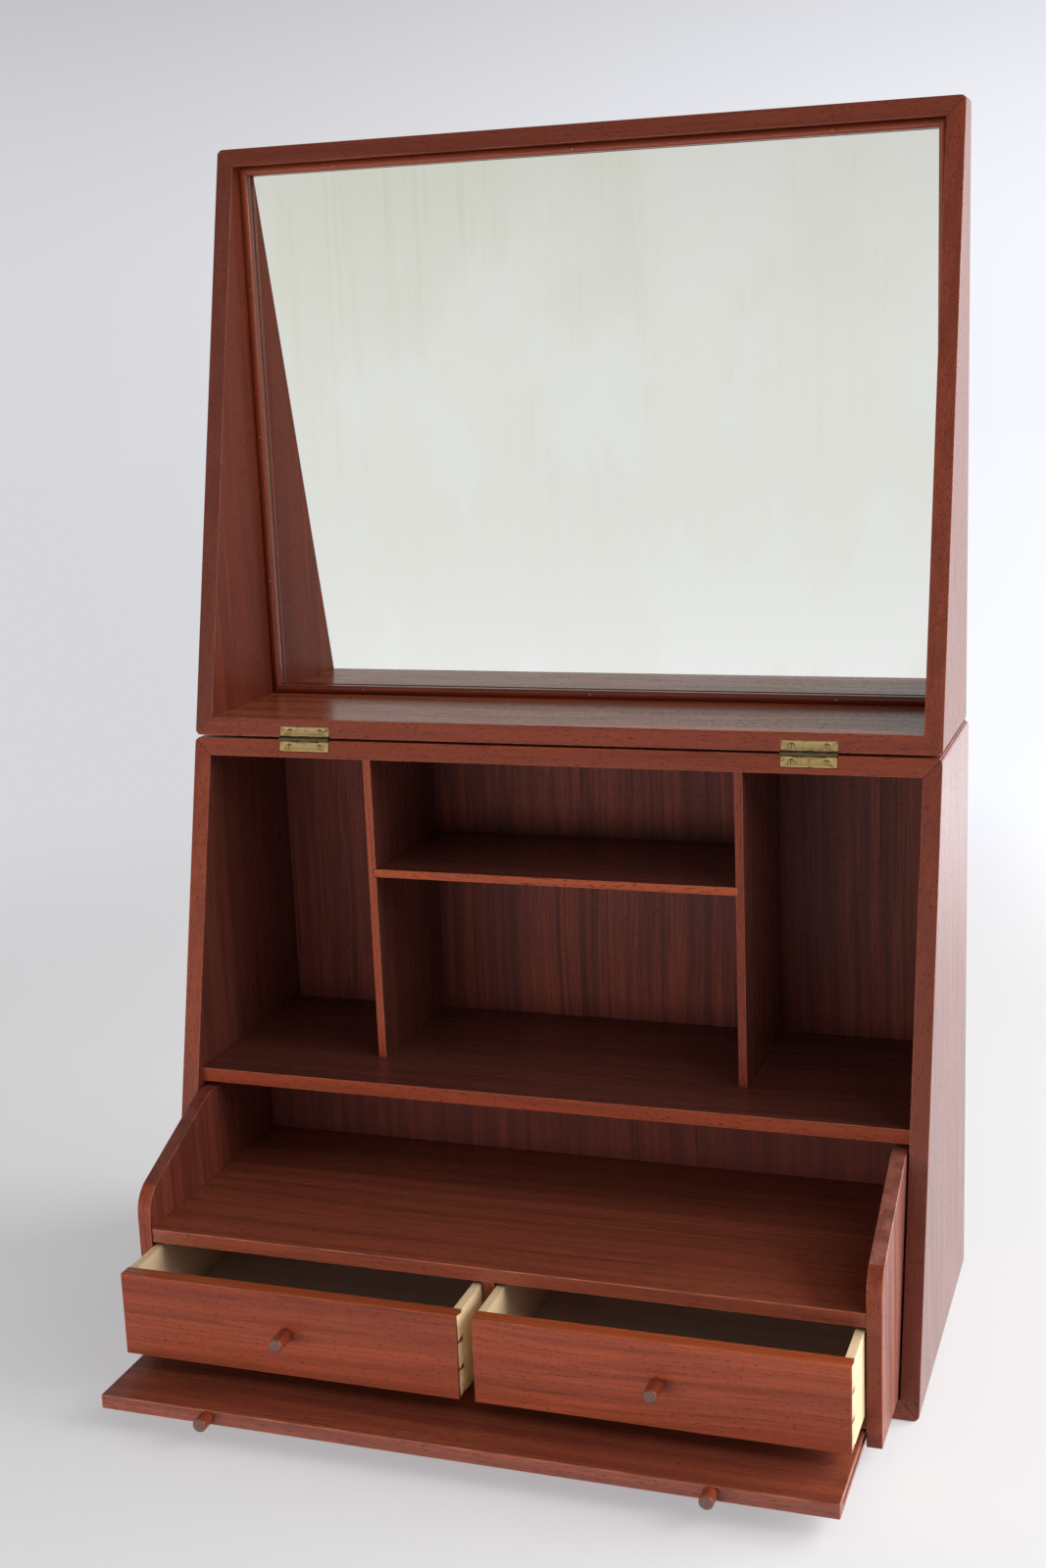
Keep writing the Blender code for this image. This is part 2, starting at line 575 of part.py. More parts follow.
def knob(name, x, face_y, z, length, host, pivot):
    """Turned dowel knob with a domed end and a glued tenon, and the hole for the tenon."""
    curve = [(0.0, length), (KNOB_RADIUS - 2 * KNOB_DOME, length),
             (KNOB_RADIUS - KNOB_DOME / 2, length - KNOB_DOME / 2),
             (KNOB_RADIUS, length - 2 * KNOB_DOME), (KNOB_RADIUS, GAP), (TENON_RADIUS, GAP),
             (TENON_RADIUS, -TENON), (0.0, -TENON)]
    mesh = bpy.data.meshes.new(name)
    mesh.from_pydata([(radius, 0.0, height) for radius, height in curve],
                     [(index, index + 1) for index in range(len(curve) - 1)], [])
    made = bpy.data.objects.new(name, mesh)
    PARTS.objects.link(made)
    mesh.materials.append(principled(name, TEAK))
    turned = made.modifiers.new("turned", "SCREW")
    turned.axis = "Z"
    turned.steps = 24
    turned.render_steps = 24
    turned.use_merge_vertices = True
    turned.merge_threshold = 0.00005
    made.rotation_euler = (radians(90), 0, 0)
    made.parent = pivot
    made.location = Vector((x, face_y, z)) - pivot.matrix_world.translation
    hole = rod(TENON_RADIUS + GAP, (x, face_y - OVERCUT, z), (x, face_y + TENON + GAP, z), 24)
    boolean(host, piece(f"{name}_hole", hole, parent=pivot))


# ---- pull-out slide ------------------------------------------------------------------------------------
def pull_out_slide(pivot):
    """Full-width board with a groove in each end that runs on the unit's runners, and two knobs."""
    front = UNIT_FRONT_Y - SLIDE_OUT
    rear = front + SLIDE_LENGTH
    middle = SLIDE_BASE + SLIDE / 2
    board = block((-SLIDE_HALF_WIDTH, SLIDE_HALF_WIDTH), (front, rear), (SLIDE_BASE, SLIDE_BASE + SLIDE))
    slide = piece("slide_board", board, TEAK, pivot)
    for side, way in (("left", -1), ("right", 1)):
        span = sorted((way * (SLIDE_HALF_WIDTH - SLIDE_GROOVE_DEPTH), way * (SLIDE_HALF_WIDTH + OVERCUT)))
        channel_z = (middle - SLIDE_GROOVE / 2, middle + SLIDE_GROOVE / 2)
        channel = block(span, (front + SLIDE_GROOVE_STOP, rear + OVERCUT), channel_z)
        boolean(slide, piece(f"slide_groove_{side}", channel, parent=pivot))
        knob(f"slide_knob_{side}", way * SLIDE_KNOB_X, front, middle, SLIDE_KNOB_LENGTH, slide, pivot)


# ---- assembly ------------------------------------------------------------------------------------------
axis_z = CABINET_HEIGHT + LID_GAP / 2
axis_y = rim_y(axis_z) - AXIS_STANDOFF / cos(RIM_TILT)
hinge_axis = (0.0, axis_y, axis_z)
lid_pivot = empty("lid_pivot", hinge_axis)
unit_pivot = empty("drawer_unit_slide", (0.0, UNIT_FRONT_Y, BOARD))
slide_pivot = empty("slide_travel", (0.0, UNIT_FRONT_Y - SLIDE_OUT, SLIDE_BASE), unit_pivot)

cabinet = cabinet_boards()
shelves(cabinet)
lid_boards = lid(lid_pivot)
for hinge_side, hinge_way in (("left", -1), ("right", 1)):
    hinge(hinge_side, hinge_way, cabinet["top"], hinge_axis, lid_boards["bottom"], lid_pivot)
drawer_unit(unit_pivot)
for drawer_name, drawer_way in (("left", -1), ("right", 1)):
    travel = empty(f"drawer_{drawer_name}_travel", (0.0, UNIT_FRONT_Y - DRAWER_OUT, DRAWER_BASE), unit_pivot)
    drawer(drawer_name, drawer_way, travel)
pull_out_slide(slide_pivot)
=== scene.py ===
import json
from math import pi, radians, tau

import bmesh
import bpy
from mathutils import Matrix, Vector

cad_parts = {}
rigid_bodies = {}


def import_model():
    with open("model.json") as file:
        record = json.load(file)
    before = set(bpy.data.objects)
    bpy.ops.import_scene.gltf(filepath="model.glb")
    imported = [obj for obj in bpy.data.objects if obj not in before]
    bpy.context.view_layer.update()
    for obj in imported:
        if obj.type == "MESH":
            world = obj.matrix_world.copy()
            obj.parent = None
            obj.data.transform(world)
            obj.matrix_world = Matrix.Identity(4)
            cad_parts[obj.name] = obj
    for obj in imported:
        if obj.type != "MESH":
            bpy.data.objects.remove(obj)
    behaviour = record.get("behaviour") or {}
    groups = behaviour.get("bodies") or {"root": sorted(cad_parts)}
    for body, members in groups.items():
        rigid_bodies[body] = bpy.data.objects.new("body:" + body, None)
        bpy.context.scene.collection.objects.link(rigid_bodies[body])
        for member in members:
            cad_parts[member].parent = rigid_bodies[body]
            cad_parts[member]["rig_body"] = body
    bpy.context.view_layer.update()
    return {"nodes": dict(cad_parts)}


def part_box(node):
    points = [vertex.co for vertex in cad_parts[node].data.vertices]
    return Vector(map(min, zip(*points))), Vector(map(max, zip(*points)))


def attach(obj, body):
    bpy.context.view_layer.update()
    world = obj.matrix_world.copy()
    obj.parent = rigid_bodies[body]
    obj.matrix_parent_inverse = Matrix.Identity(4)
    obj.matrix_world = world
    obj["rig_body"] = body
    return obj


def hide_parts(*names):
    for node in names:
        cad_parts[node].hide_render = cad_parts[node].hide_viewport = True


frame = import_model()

# ---- the studio ----------------------------------------------------------------------------------------
# A camera in front and to the right, tilted slightly down, and a plain pale floor that fades into a pale
# surround, brighter to the right than to the left. Three soft panels light it: a large one at the right, a
# smaller one high at the front right, and a low one in front.
CAMERA_AT = (0.51748, -1.55691, 0.82114)
CAMERA_YAW = radians(19.342)
CAMERA_PITCH = radians(-12.439)
CAMERA_ROLL = radians(-2.282)
CAMERA_LENS = 46.445
SENSOR_WIDTH = 36.0

camera_data = bpy.data.cameras.new("camera")
camera_data.sensor_width = SENSOR_WIDTH
camera_data.sensor_fit = "AUTO"
camera_data.lens = CAMERA_LENS
camera_data.dof.use_dof = False
camera = bpy.data.objects.new("camera", camera_data)
turn = Matrix.Rotation(CAMERA_YAW, 4, "Z") @ Matrix.Rotation(pi / 2 + CAMERA_PITCH, 4, "X")
camera.matrix_world = Matrix.Translation(CAMERA_AT) @ turn @ Matrix.Rotation(CAMERA_ROLL, 4, "Z")
bpy.context.scene.collection.objects.link(camera)
bpy.context.scene.camera = camera
bpy.context.scene.view_settings.view_transform = "Standard"
bpy.context.scene.view_settings.look = "None"

SURROUND_LEFT = (0.680, 0.680, 0.710, 1.0)
SURROUND_RIGHT = (0.96, 0.975, 1.04, 1.0)
SURROUND_FAR_RIGHT = (2.30, 2.30, 2.32, 1.0)
SURROUND_FRONT = (0.82, 0.825, 0.80, 1.0)
SURROUND_FRONT_LOW = (0.93, 0.93, 0.92, 1.0)
SURROUND_FRONT_RIGHT = (0.34, 0.34, 0.34, 1.0)
SURROUND_ABOVE = (0.20, 0.195, 0.19, 1.0)


def node(tree, kind, inputs=(), **settings):
    """One shader node with its settings and plain input values, or links from other sockets."""
    made = tree.nodes.new(kind)
    for key, value in settings.items():
        setattr(made, key, value)
    for key, value in dict(inputs).items():
        if isinstance(value, bpy.types.NodeSocket):
            tree.links.new(value, made.inputs[key])
        else:
            made.inputs[key].default_value = value
    return made


def surround_group():
    """Colour of the surround in one direction: greyer left, bright to the right and rear, dim overhead."""
    group = bpy.data.node_groups.new("surround", "ShaderNodeTree")
    group.interface.new_socket("Direction", in_out="INPUT", socket_type="NodeSocketVector")
    group.interface.new_socket("Color", in_out="OUTPUT", socket_type="NodeSocketColor")
    start = group.nodes.new("NodeGroupInput")
    end = group.nodes.new("NodeGroupOutput")
    axes = node(group, "ShaderNodeSeparateXYZ", {"Vector": start.outputs["Direction"]})

    def blended(axis, start_at, end_at, below, above):
        amount = node(group, "ShaderNodeMapRange", {"Value": axes.outputs[axis], "From Min": start_at,
                                                    "From Max": end_at}, interpolation_type="SMOOTHSTEP")
        return node(group, "ShaderNodeMix", {0: amount.outputs["Result"], 6: below, 7: above},
                    data_type="RGBA").outputs[2]

    behind = blended("X", -0.58, 0.05, SURROUND_LEFT, SURROUND_RIGHT)
    behind = blended("X", 0.05, 0.60, behind, SURROUND_FAR_RIGHT)
    ahead = blended("Z", -0.04, -0.20, SURROUND_FRONT, SURROUND_FRONT_LOW)
    ahead = blended("X", -0.08, 0.35, ahead, SURROUND_FRONT_RIGHT)
    ahead = blended("Z", -0.04, 0.46, ahead, SURROUND_ABOVE)
    behind = blended("Z", 0.02, 0.42, behind, SURROUND_ABOVE)
    whole = blended("Y", 0.12, -0.24, behind, ahead)
    group.links.new(whole, end.inputs["Color"])
    return group


SURROUND = surround_group()
world = bpy.data.worlds.new("surround")
bpy.context.scene.world = world
world.use_nodes = True
world.node_tree.nodes.clear()
direction = node(world.node_tree, "ShaderNodeTexCoord")
glow = node(world.node_tree, "ShaderNodeGroup", node_tree=SURROUND)
world.node_tree.links.new(direction.outputs["Generated"], glow.inputs["Direction"])
background = node(world.node_tree, "ShaderNodeBackground", {"Color": glow.outputs["Color"], "Strength": 1.0})
node(world.node_tree, "ShaderNodeOutputWorld", {"Surface": background.outputs["Background"]})

FLOOR_RADIUS = 14.0
FLOOR_SEGMENTS = 96
FLOOR_BELOW = (0, 0, -0.0004)
FLOOR_EYE = (0.0, 0.0, -0.5)
FLOOR_FADE = (0.8, 2.3)
FLOOR_PAPER = (0.46, 0.46, 0.47, 1.0)
FLOOR_LIFT = (1.0, 1.0, 1.03, 1.0)
FLOOR_LIFT_STRENGTH = 0.355
floor_bm = bmesh.new()
bmesh.ops.create_circle(floor_bm, cap_ends=True, segments=FLOOR_SEGMENTS, radius=FLOOR_RADIUS)
bmesh.ops.translate(floor_bm, verts=floor_bm.verts, vec=FLOOR_BELOW)
floor_mesh = bpy.data.meshes.new("floor")
floor_bm.to_mesh(floor_mesh)
floor_bm.free()
floor = bpy.data.objects.new("floor", floor_mesh)
bpy.context.scene.collection.objects.link(floor)

paper = bpy.data.materials.new("floor_paper")
paper.use_nodes = True
tree = paper.node_tree
tree.nodes.clear()
place = node(tree, "ShaderNodeTexCoord")
length = node(tree, "ShaderNodeVectorMath", {0: place.outputs["Object"]}, operation="LENGTH")
below_eye = node(tree, "ShaderNodeVectorMath", {0: place.outputs["Object"], 1: FLOOR_EYE}, operation="ADD")
outward = node(tree, "ShaderNodeVectorMath", {0: below_eye.outputs["Vector"]}, operation="NORMALIZE")
far = node(tree, "ShaderNodeMapRange", {"Value": length.outputs["Value"], "From Min": FLOOR_FADE[0],
                                        "From Max": FLOOR_FADE[1]}, interpolation_type="SMOOTHERSTEP")
tint = node(tree, "ShaderNodeGroup", node_tree=SURROUND)
tree.links.new(outward.outputs["Vector"], tint.inputs["Direction"])
lit = node(tree, "ShaderNodeBsdfDiffuse", {"Color": FLOOR_PAPER})
even = node(tree, "ShaderNodeEmission", {"Color": tint.outputs["Color"]})
lift = node(tree, "ShaderNodeEmission", {"Color": FLOOR_LIFT, "Strength": FLOOR_LIFT_STRENGTH})
near = node(tree, "ShaderNodeAddShader", {0: lit.outputs[0], 1: lift.outputs[0]})
blend = node(tree, "ShaderNodeMixShader", {0: far.outputs["Result"], 1: near.outputs[0], 2: even.outputs[0]})
node(tree, "ShaderNodeOutputMaterial", {"Surface": blend.outputs[0]})
floor_mesh.materials.append(paper)


def soft_panel(name, at, aim, width, height, power, colour):
    """A large rectangular studio light that faces a point."""
    data = bpy.data.lights.new(name, "AREA")
    data.shape = "RECTANGLE"
    data.size = width
    data.size_y = height
    data.energy = power
    data.color = colour
    light = bpy.data.objects.new(name, data)
    facing = (Vector(aim) - Vector(at)).to_track_quat("-Z", "Y").to_matrix().to_4x4()
    light.matrix_world = Matrix.Translation(at) @ facing
    bpy.context.scene.collection.objects.link(light)
    return light


soft_panel("window_right", (2.4, 0.80, 1.35), (0.0, 0.0, 0.2), 2.6, 1.8, 120.0, (1.0, 0.985, 0.97))
low_front = soft_panel("reflector_front", (-0.8, -1.9, 0.18), (0.0, -0.1, 0.15), 2.0, 0.35, 22.0, (1.0, 0.98, 0.95))
soft_panel("skylight_right", (1.5, -0.75, 1.7), (0.0, -0.2, 0.1), 1.4, 1.4, 11.0, (1.0, 0.985, 0.97))
low_front.visible_glossy = False

# ---- cabinet boards ------------------------------------------------------------------------------------
# Four 15 mm boards of reddish oiled teak, mitred at the corners, with the long outer corners rounded and the
# rim eased by hand. The grain runs along each board.
TEAK_LIGHT = (0.300, 0.058, 0.023, 1.0)
TEAK_DARK = (0.140, 0.024, 0.011, 1.0)
TEAK_PORE = (0.040, 0.011, 0.008, 1.0)
# The face tones are darker than the rim tones for the shade inside the cabinet, the left face darker and greyer
# still, and the right rim darker: painted shade.
FACE_LIGHT_PAINTED_SHADE = (0.205, 0.040, 0.018, 1.0)
FACE_LIGHT_LEFT_PAINTED_SHADE = (0.150, 0.040, 0.026, 1.0)
FACE_DARK_PAINTED_SHADE = (0.085, 0.018, 0.012, 1.0)
RIM_LIGHT = (0.250, 0.046, 0.018, 1.0)
RIM_LIGHT_RIGHT_PAINTED_SHADE = (0.185, 0.037, 0.018, 1.0)
RIM_DARK = (0.110, 0.020, 0.010, 1.0)
RIM_GLOSS = 0.35
# The lighter colour of the eased edges: partly rubbed wear, partly a painted highlight.
TEAK_WORN_AND_HIGHLIGHT = (0.52, 0.17, 0.085, 1.0)
TEAK_IOR = 1.5
RIM_SEED_SHIFT = 60.0
LOG_STEP = (1.37, 2.11, 0.73)
WOOD_RELIEF = 0.15
RELIEF_DEPTH = 0.0002
ALONG = {"X": (0.0, -pi / 2, 0.0), "Y": (pi / 2, 0.0, 0.0), "Z": (0.0, 0.0, 0.0)}


def teak_group():
    """Teak figure. The pattern's Z runs along the grain: growth bands, fine streaks and short dark pores."""
    group = bpy.data.node_groups.new("teak_grain", "ShaderNodeTree")
    for name, kind, start_value in (("Vector", "NodeSocketVector", None), ("Light", "NodeSocketColor", TEAK_LIGHT),
                                    ("Dark", "NodeSocketColor", TEAK_DARK), ("Pore", "NodeSocketColor", TEAK_PORE),
                                    ("Figure", "NodeSocketFloat", 0.6), ("Pores", "NodeSocketFloat", 0.7),
                                    ("Satin", "NodeSocketFloat", 0.25)):
        socket = group.interface.new_socket(name, in_out="INPUT", socket_type=kind)
        if start_value is not None:
            socket.default_value = start_value
    for name, kind in (("Color", "NodeSocketColor"), ("Roughness", "NodeSocketFloat"), ("Height", "NodeSocketFloat")):
        group.interface.new_socket(name, in_out="OUTPUT", socket_type=kind)
    start = group.nodes.new("NodeGroupInput")
    end = group.nodes.new("NodeGroupOutput")

    def stretched(scale, detail, roughness, source):
        laid = node(group, "ShaderNodeVectorMath", {0: source, 1: scale}, operation="MULTIPLY")
        noise = node(group, "ShaderNodeTexNoise", {"Vector": laid.outputs["Vector"], "Scale": 1.0, "Detail": detail,
                                                   "Roughness": roughness})
        return noise.outputs["Fac"]

    def sharpened(value, low, high):
        step = node(group, "ShaderNodeMapRange", {"Value": value, "From Min": low, "From Max": high},
                    interpolation_type="SMOOTHSTEP")
        return step.outputs["Result"]

    def product(first, second):
        return node(group, "ShaderNodeMath", {0: first, 1: second}, operation="MULTIPLY").outputs["Value"]

    def layered(amount, below, above):
        return node(group, "ShaderNodeMix", {0: amount, 6: below, 7: above}, data_type="RGBA").outputs[2]

    sway = node(group, "ShaderNodeTexNoise", {"Vector": node(
        group, "ShaderNodeVectorMath", {0: start.outputs["Vector"], 1: (5.0, 5.0, 2.2)},
        operation="MULTIPLY").outputs["Vector"], "Scale": 1.0, "Detail": 1.0})
    centred = node(group, "ShaderNodeVectorMath", {0: sway.outputs["Color"], 1: (0.5, 0.5, 0.5)},
                   operation="SUBTRACT")
    pushed = node(group, "ShaderNodeVectorMath", {0: centred.outputs["Vector"], 1: (0.030, 0.030, 0.0)},
                  operation="MULTIPLY")
    swayed = node(group, "ShaderNodeVectorMath", {0: start.outputs["Vector"], 1: pushed.outputs["Vector"]},
                  operation="ADD").outputs["Vector"]
    bands = sharpened(stretched((95.0, 95.0, 1.6), 3.0, 0.62, swayed), 0.36, 0.66)
    patches = sharpened(stretched((13.0, 13.0, 2.0), 1.0, 0.5, swayed), 0.30, 0.72)
    streaks = sharpened(stretched((640.0, 640.0, 6.0), 2.0, 0.6, swayed), 0.38, 0.66)
    lines = sharpened(stretched((300.0, 300.0, 3.5), 1.0, 0.5, swayed), 0.64, 0.71)
    dashes = sharpened(stretched((1250.0, 1250.0, 210.0), 1.0, 0.5, start.outputs["Vector"]), 0.61, 0.68)
    figure = start.outputs["Figure"]
    base = layered(product(bands, figure), start.outputs["Light"], start.outputs["Dark"])
    base = layered(product(product(patches, figure), 0.30), base, start.outputs["Dark"])
    base = layered(product(product(streaks, figure), 0.55), base, start.outputs["Dark"])
    base = layered(product(product(lines, figure), 0.60), base, start.outputs["Pore"])
    base = layered(product(dashes, start.outputs["Pores"]), base, start.outputs["Pore"])
    group.links.new(base, end.inputs["Color"])
    rough = node(group, "ShaderNodeMath", {0: start.outputs["Satin"], 1: product(streaks, 0.09)},
                 operation="ADD").outputs["Value"]
    rough = node(group, "ShaderNodeMath", {0: rough, 1: product(dashes, 0.20)}, operation="ADD").outputs["Value"]
    group.links.new(rough, end.inputs["Roughness"])
    dips = node(group, "ShaderNodeMath", {0: product(streaks, 0.25), 1: dashes}, operation="ADD").outputs["Value"]
    high = node(group, "ShaderNodeMath", {0: 1.0, 1: dips}, operation="SUBTRACT").outputs["Value"]
    group.links.new(high, end.inputs["Height"])
    return group


def wear_and_highlight_group():
    """Lightens the eased edges in patches: partly wear where hands and cloths have rubbed them, partly a painted
    highlight along the edges.
    """
    group = bpy.data.node_groups.new("edge_wear_and_highlight", "ShaderNodeTree")
    for name, kind in (("Vector", "NodeSocketVector"), ("Color", "NodeSocketColor"), ("Worn and highlight", "NodeSocketColor"),
                       ("Edge", "NodeSocketFloat"), ("Amount", "NodeSocketFloat")):
        group.interface.new_socket(name, in_out="INPUT", socket_type=kind)
    group.interface.new_socket("Color", in_out="OUTPUT", socket_type="NodeSocketColor")
    start = group.nodes.new("NodeGroupInput")
    end = group.nodes.new("NodeGroupOutput")
    noise = node(group, "ShaderNodeTexNoise", {"Vector": start.outputs["Vector"], "Scale": 38.0, "Detail": 3.0})
    patchy = node(group, "ShaderNodeMapRange", {"Value": noise.outputs["Fac"], "From Min": 0.35, "From Max": 0.65,
                                                "To Min": 0.15, "To Max": 1.0})
    rubbed = node(group, "ShaderNodeMath", {0: patchy.outputs["Result"], 1: start.outputs["Edge"]},
                  operation="MULTIPLY")
    amount = node(group, "ShaderNodeMath", {0: rubbed.outputs["Value"], 1: start.outputs["Amount"]},
                  operation="MULTIPLY")
    mixed = node(group, "ShaderNodeMix", {0: amount.outputs["Value"], 6: start.outputs["Color"],
                                          7: start.outputs["Worn and highlight"]}, data_type="RGBA")
    group.links.new(mixed.outputs[2], end.inputs["Color"])
    return group


TEAK_GRAIN = teak_group()
EDGE_WEAR_AND_HIGHLIGHT = wear_and_highlight_group()


def teak(name, along, seed, figure=0.6, pores=0.7, wear_and_highlight=0.35, light=TEAK_LIGHT, dark=TEAK_DARK, satin=0.25,
         gloss=0.5):
    """Oiled teak for one board, cut from its own place in the log."""
    material = bpy.data.materials.new(name)
    material.use_nodes = True
    tree = material.node_tree
    shader = tree.nodes["Principled BSDF"]
    place = node(tree, "ShaderNodeTexCoord").outputs["Object"]
    laid = node(tree, "ShaderNodeMapping", {"Vector": place, "Location": tuple(seed * step for step in LOG_STEP),
                                            "Rotation": ALONG[along]}).outputs["Vector"]
    grain = node(tree, "ShaderNodeGroup", node_tree=TEAK_GRAIN)
    tree.links.new(laid, grain.inputs["Vector"])
    for key, value in (("Light", light), ("Dark", dark), ("Pore", TEAK_PORE), ("Figure", figure), ("Pores", pores),
                       ("Satin", satin)):
        grain.inputs[key].default_value = value
    edge = node(tree, "ShaderNodeAttribute", attribute_name="eased")
    worn_and_highlit = node(tree, "ShaderNodeGroup", node_tree=EDGE_WEAR_AND_HIGHLIGHT)
    tree.links.new(place, worn_and_highlit.inputs["Vector"])
    tree.links.new(grain.outputs["Color"], worn_and_highlit.inputs["Color"])
    tree.links.new(edge.outputs["Fac"], worn_and_highlit.inputs["Edge"])
    worn_and_highlit.inputs["Worn and highlight"].default_value = TEAK_WORN_AND_HIGHLIGHT
    worn_and_highlit.inputs["Amount"].default_value = wear_and_highlight
    bump = node(tree, "ShaderNodeBump", {"Height": grain.outputs["Height"], "Strength": WOOD_RELIEF,
                                         "Distance": RELIEF_DEPTH})
    tree.links.new(worn_and_highlit.outputs["Color"], shader.inputs["Base Color"])
    tree.links.new(grain.outputs["Roughness"], shader.inputs["Roughness"])
    tree.links.new(bump.outputs["Normal"], shader.inputs["Normal"])
    shader.inputs["IOR"].default_value = TEAK_IOR
    shader.inputs["Specular IOR Level"].default_value = gloss
    return material


def shown(name, bm, material, body, node_names=()):
    """Make a piece from a bmesh, at the origin, on its body, in place of the CAD nodes that it stands for."""
    mesh = bpy.data.meshes.new(name)
    bm.to_mesh(mesh)
    bm.free()
    mesh.shade_smooth()
    made = bpy.data.objects.new(name, mesh)
    bpy.context.scene.collection.objects.link(made)
    mesh.materials.append(material)
    weighted = made.modifiers.new("flat_faces_stay_flat", "WEIGHTED_NORMAL")
    weighted.weight = 100
    weighted.keep_sharp = True
    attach(made, body)
    if node_names:
        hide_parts(*node_names)
    return made


MERGE_DISTANCE = 0.00001
EASED_CORNER = radians(40)
PAINTED_LIGHT_FACING = 0.5


def eased(cad_name, material, ease=0.0006, segments=2, sharp=None, shortest=0.0015, suffix="board", painted_light_copy=None,
          painted_light_side=(0.0, -1.0, 0.0)):
    """A board with its outward edges eased. Joint faces, where sharp is true, keep their crisp edges. The faces that
    point to one side may take a second copy of the wood in another tone, matched to how that side is lit: painted
    light and shade."""
    source = frame["nodes"][cad_name]
    bm = bmesh.new()
    bm.from_mesh(source.data)
    layer = bm.faces.layers.float.new("eased")
    bmesh.ops.remove_doubles(bm, verts=bm.verts, dist=MERGE_DISTANCE)
    picked = []
    for edge in bm.edges:
        if len(edge.link_faces) != 2 or edge.calc_length() < shortest:
            continue
        if edge.calc_face_angle_signed(0.0) < EASED_CORNER:
            continue
        if sharp and all(sharp(vertex.co) for vertex in edge.verts):
            continue
        picked.append(edge)
    rounded = bmesh.ops.bevel(bm, geom=picked, offset=ease, offset_type="OFFSET", segments=segments, profile=0.5,
                              affect="EDGES", material=-1, clamp_overlap=False) if picked else {"faces": []}
    for face in rounded["faces"]:
        face[layer] = 1.0
    # Faces that point to the given side take the second tone: painted light and shade.
    if painted_light_copy is not None:
        bm.normal_update()
        for face in bm.faces:
            if face.normal.dot(Vector(painted_light_side)) > PAINTED_LIGHT_FACING:
                face.material_index = 1
    made = shown(f"{cad_name}_{suffix}", bm, material, source["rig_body"], [cad_name])
    if painted_light_copy is not None:
        made.data.materials.append(painted_light_copy)


def in_mitre(low, high, reach=0.0006):
    """True for a point on the 45 degree joint of a box whose outer corners are at low and high."""
    def test(co):
        inward = min(co.x - low.x, high.x - co.x)
        level = min(co.z - low.z, high.z - co.z)
        return abs(inward - level) < reach
    return test


cabinet_low = Vector(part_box("cabinet_bottom")[0])
cabinet_high = Vector(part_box("cabinet_top")[1])
cabinet_mitre = in_mitre(cabinet_low, cabinet_high)
for board, along, seed, satin, face_light, rim_light in (
        ("side_left", "Z", 1.0, 0.25, FACE_LIGHT_LEFT_PAINTED_SHADE, RIM_LIGHT),
        ("side_right", "Z", 2.0, 0.16, FACE_LIGHT_PAINTED_SHADE, RIM_LIGHT_RIGHT_PAINTED_SHADE),
        ("top", "X", 3.0, 0.25, FACE_LIGHT_PAINTED_SHADE, RIM_LIGHT), ("bottom", "X", 4.0, 0.25, FACE_LIGHT_PAINTED_SHADE, RIM_LIGHT)):
    face_wood = teak(f"cabinet_{board}_teak", along, seed, light=face_light, dark=FACE_DARK_PAINTED_SHADE, satin=satin)
    rim_wood = teak(f"cabinet_{board}_rim_teak", along, seed + RIM_SEED_SHIFT, 0.40, 0.8, 0.25, rim_light, RIM_DARK,
                    gloss=RIM_GLOSS)
    eased(f"cabinet_{board}", face_wood, sharp=cabinet_mitre, painted_light_copy=rim_wood)

# ---- cabinet back panel --------------------------------------------------------------------------------
# A thin panel faced with strongly figured teak veneer, its grain upright. It's held in a groove in all four
# boards.
# The panel tones are darkened for the shade deep in the compartments: painted shade.
PANEL_LIGHT_PAINTED_SHADE = (0.172, 0.038, 0.023, 1.0)
PANEL_DARK_PAINTED_SHADE = (0.062, 0.018, 0.016, 1.0)
PANEL_GLOSS = 0.2
PANEL_SATIN = 0.42
PANEL_EASE = 0.0003
eased("cabinet_back_panel",
      teak("back_panel_teak", "Z", 5.0, 0.85, 0.8, 0.0, PANEL_LIGHT_PAINTED_SHADE, PANEL_DARK_PAINTED_SHADE, PANEL_SATIN, PANEL_GLOSS),
      PANEL_EASE)

# ---- shelves and dividers ------------------------------------------------------------------------------
# A full-width shelf housed in both sides, two thin upright dividers and a small shelf between them. Their faces are
# darker and greyer than the outer teak: painted shade. Their front edges are the ones that hands touch. Their eased
# edges take more of the lighter edge colour, partly rubbed wear and partly a painted highlight, and each board's
# front edge has its own lighter tone for how it is lit: painted light.
SHELF_LIGHT_PAINTED_SHADE = (0.160, 0.042, 0.028, 1.0)
SHELF_DARK_PAINTED_SHADE = (0.072, 0.021, 0.016, 1.0)
for board, along, seed, ease, lit_edge_tone in (
        ("main_shelf", "X", 6.0, 0.0006, (0.270, 0.043, 0.012, 1.0)),
        ("small_shelf", "X", 7.0, 0.0005, (0.340, 0.064, 0.020, 1.0)),
        ("divider_left", "Z", 8.0, 0.0005, (0.310, 0.058, 0.024, 1.0)),
        ("divider_right", "Z", 9.0, 0.0005, (0.190, 0.032, 0.015, 1.0))):
    face_wood = teak(f"{board}_teak", along, seed, 0.6, 0.6, 0.5, SHELF_LIGHT_PAINTED_SHADE, SHELF_DARK_PAINTED_SHADE)
    edge_wood = teak(f"{board}_edge_painted_light_teak", along, seed + RIM_SEED_SHIFT, 0.35, 0.8, 0.35, lit_edge_tone, RIM_DARK,
                     gloss=0.2)
    eased(board, face_wood, ease, painted_light_copy=edge_wood)

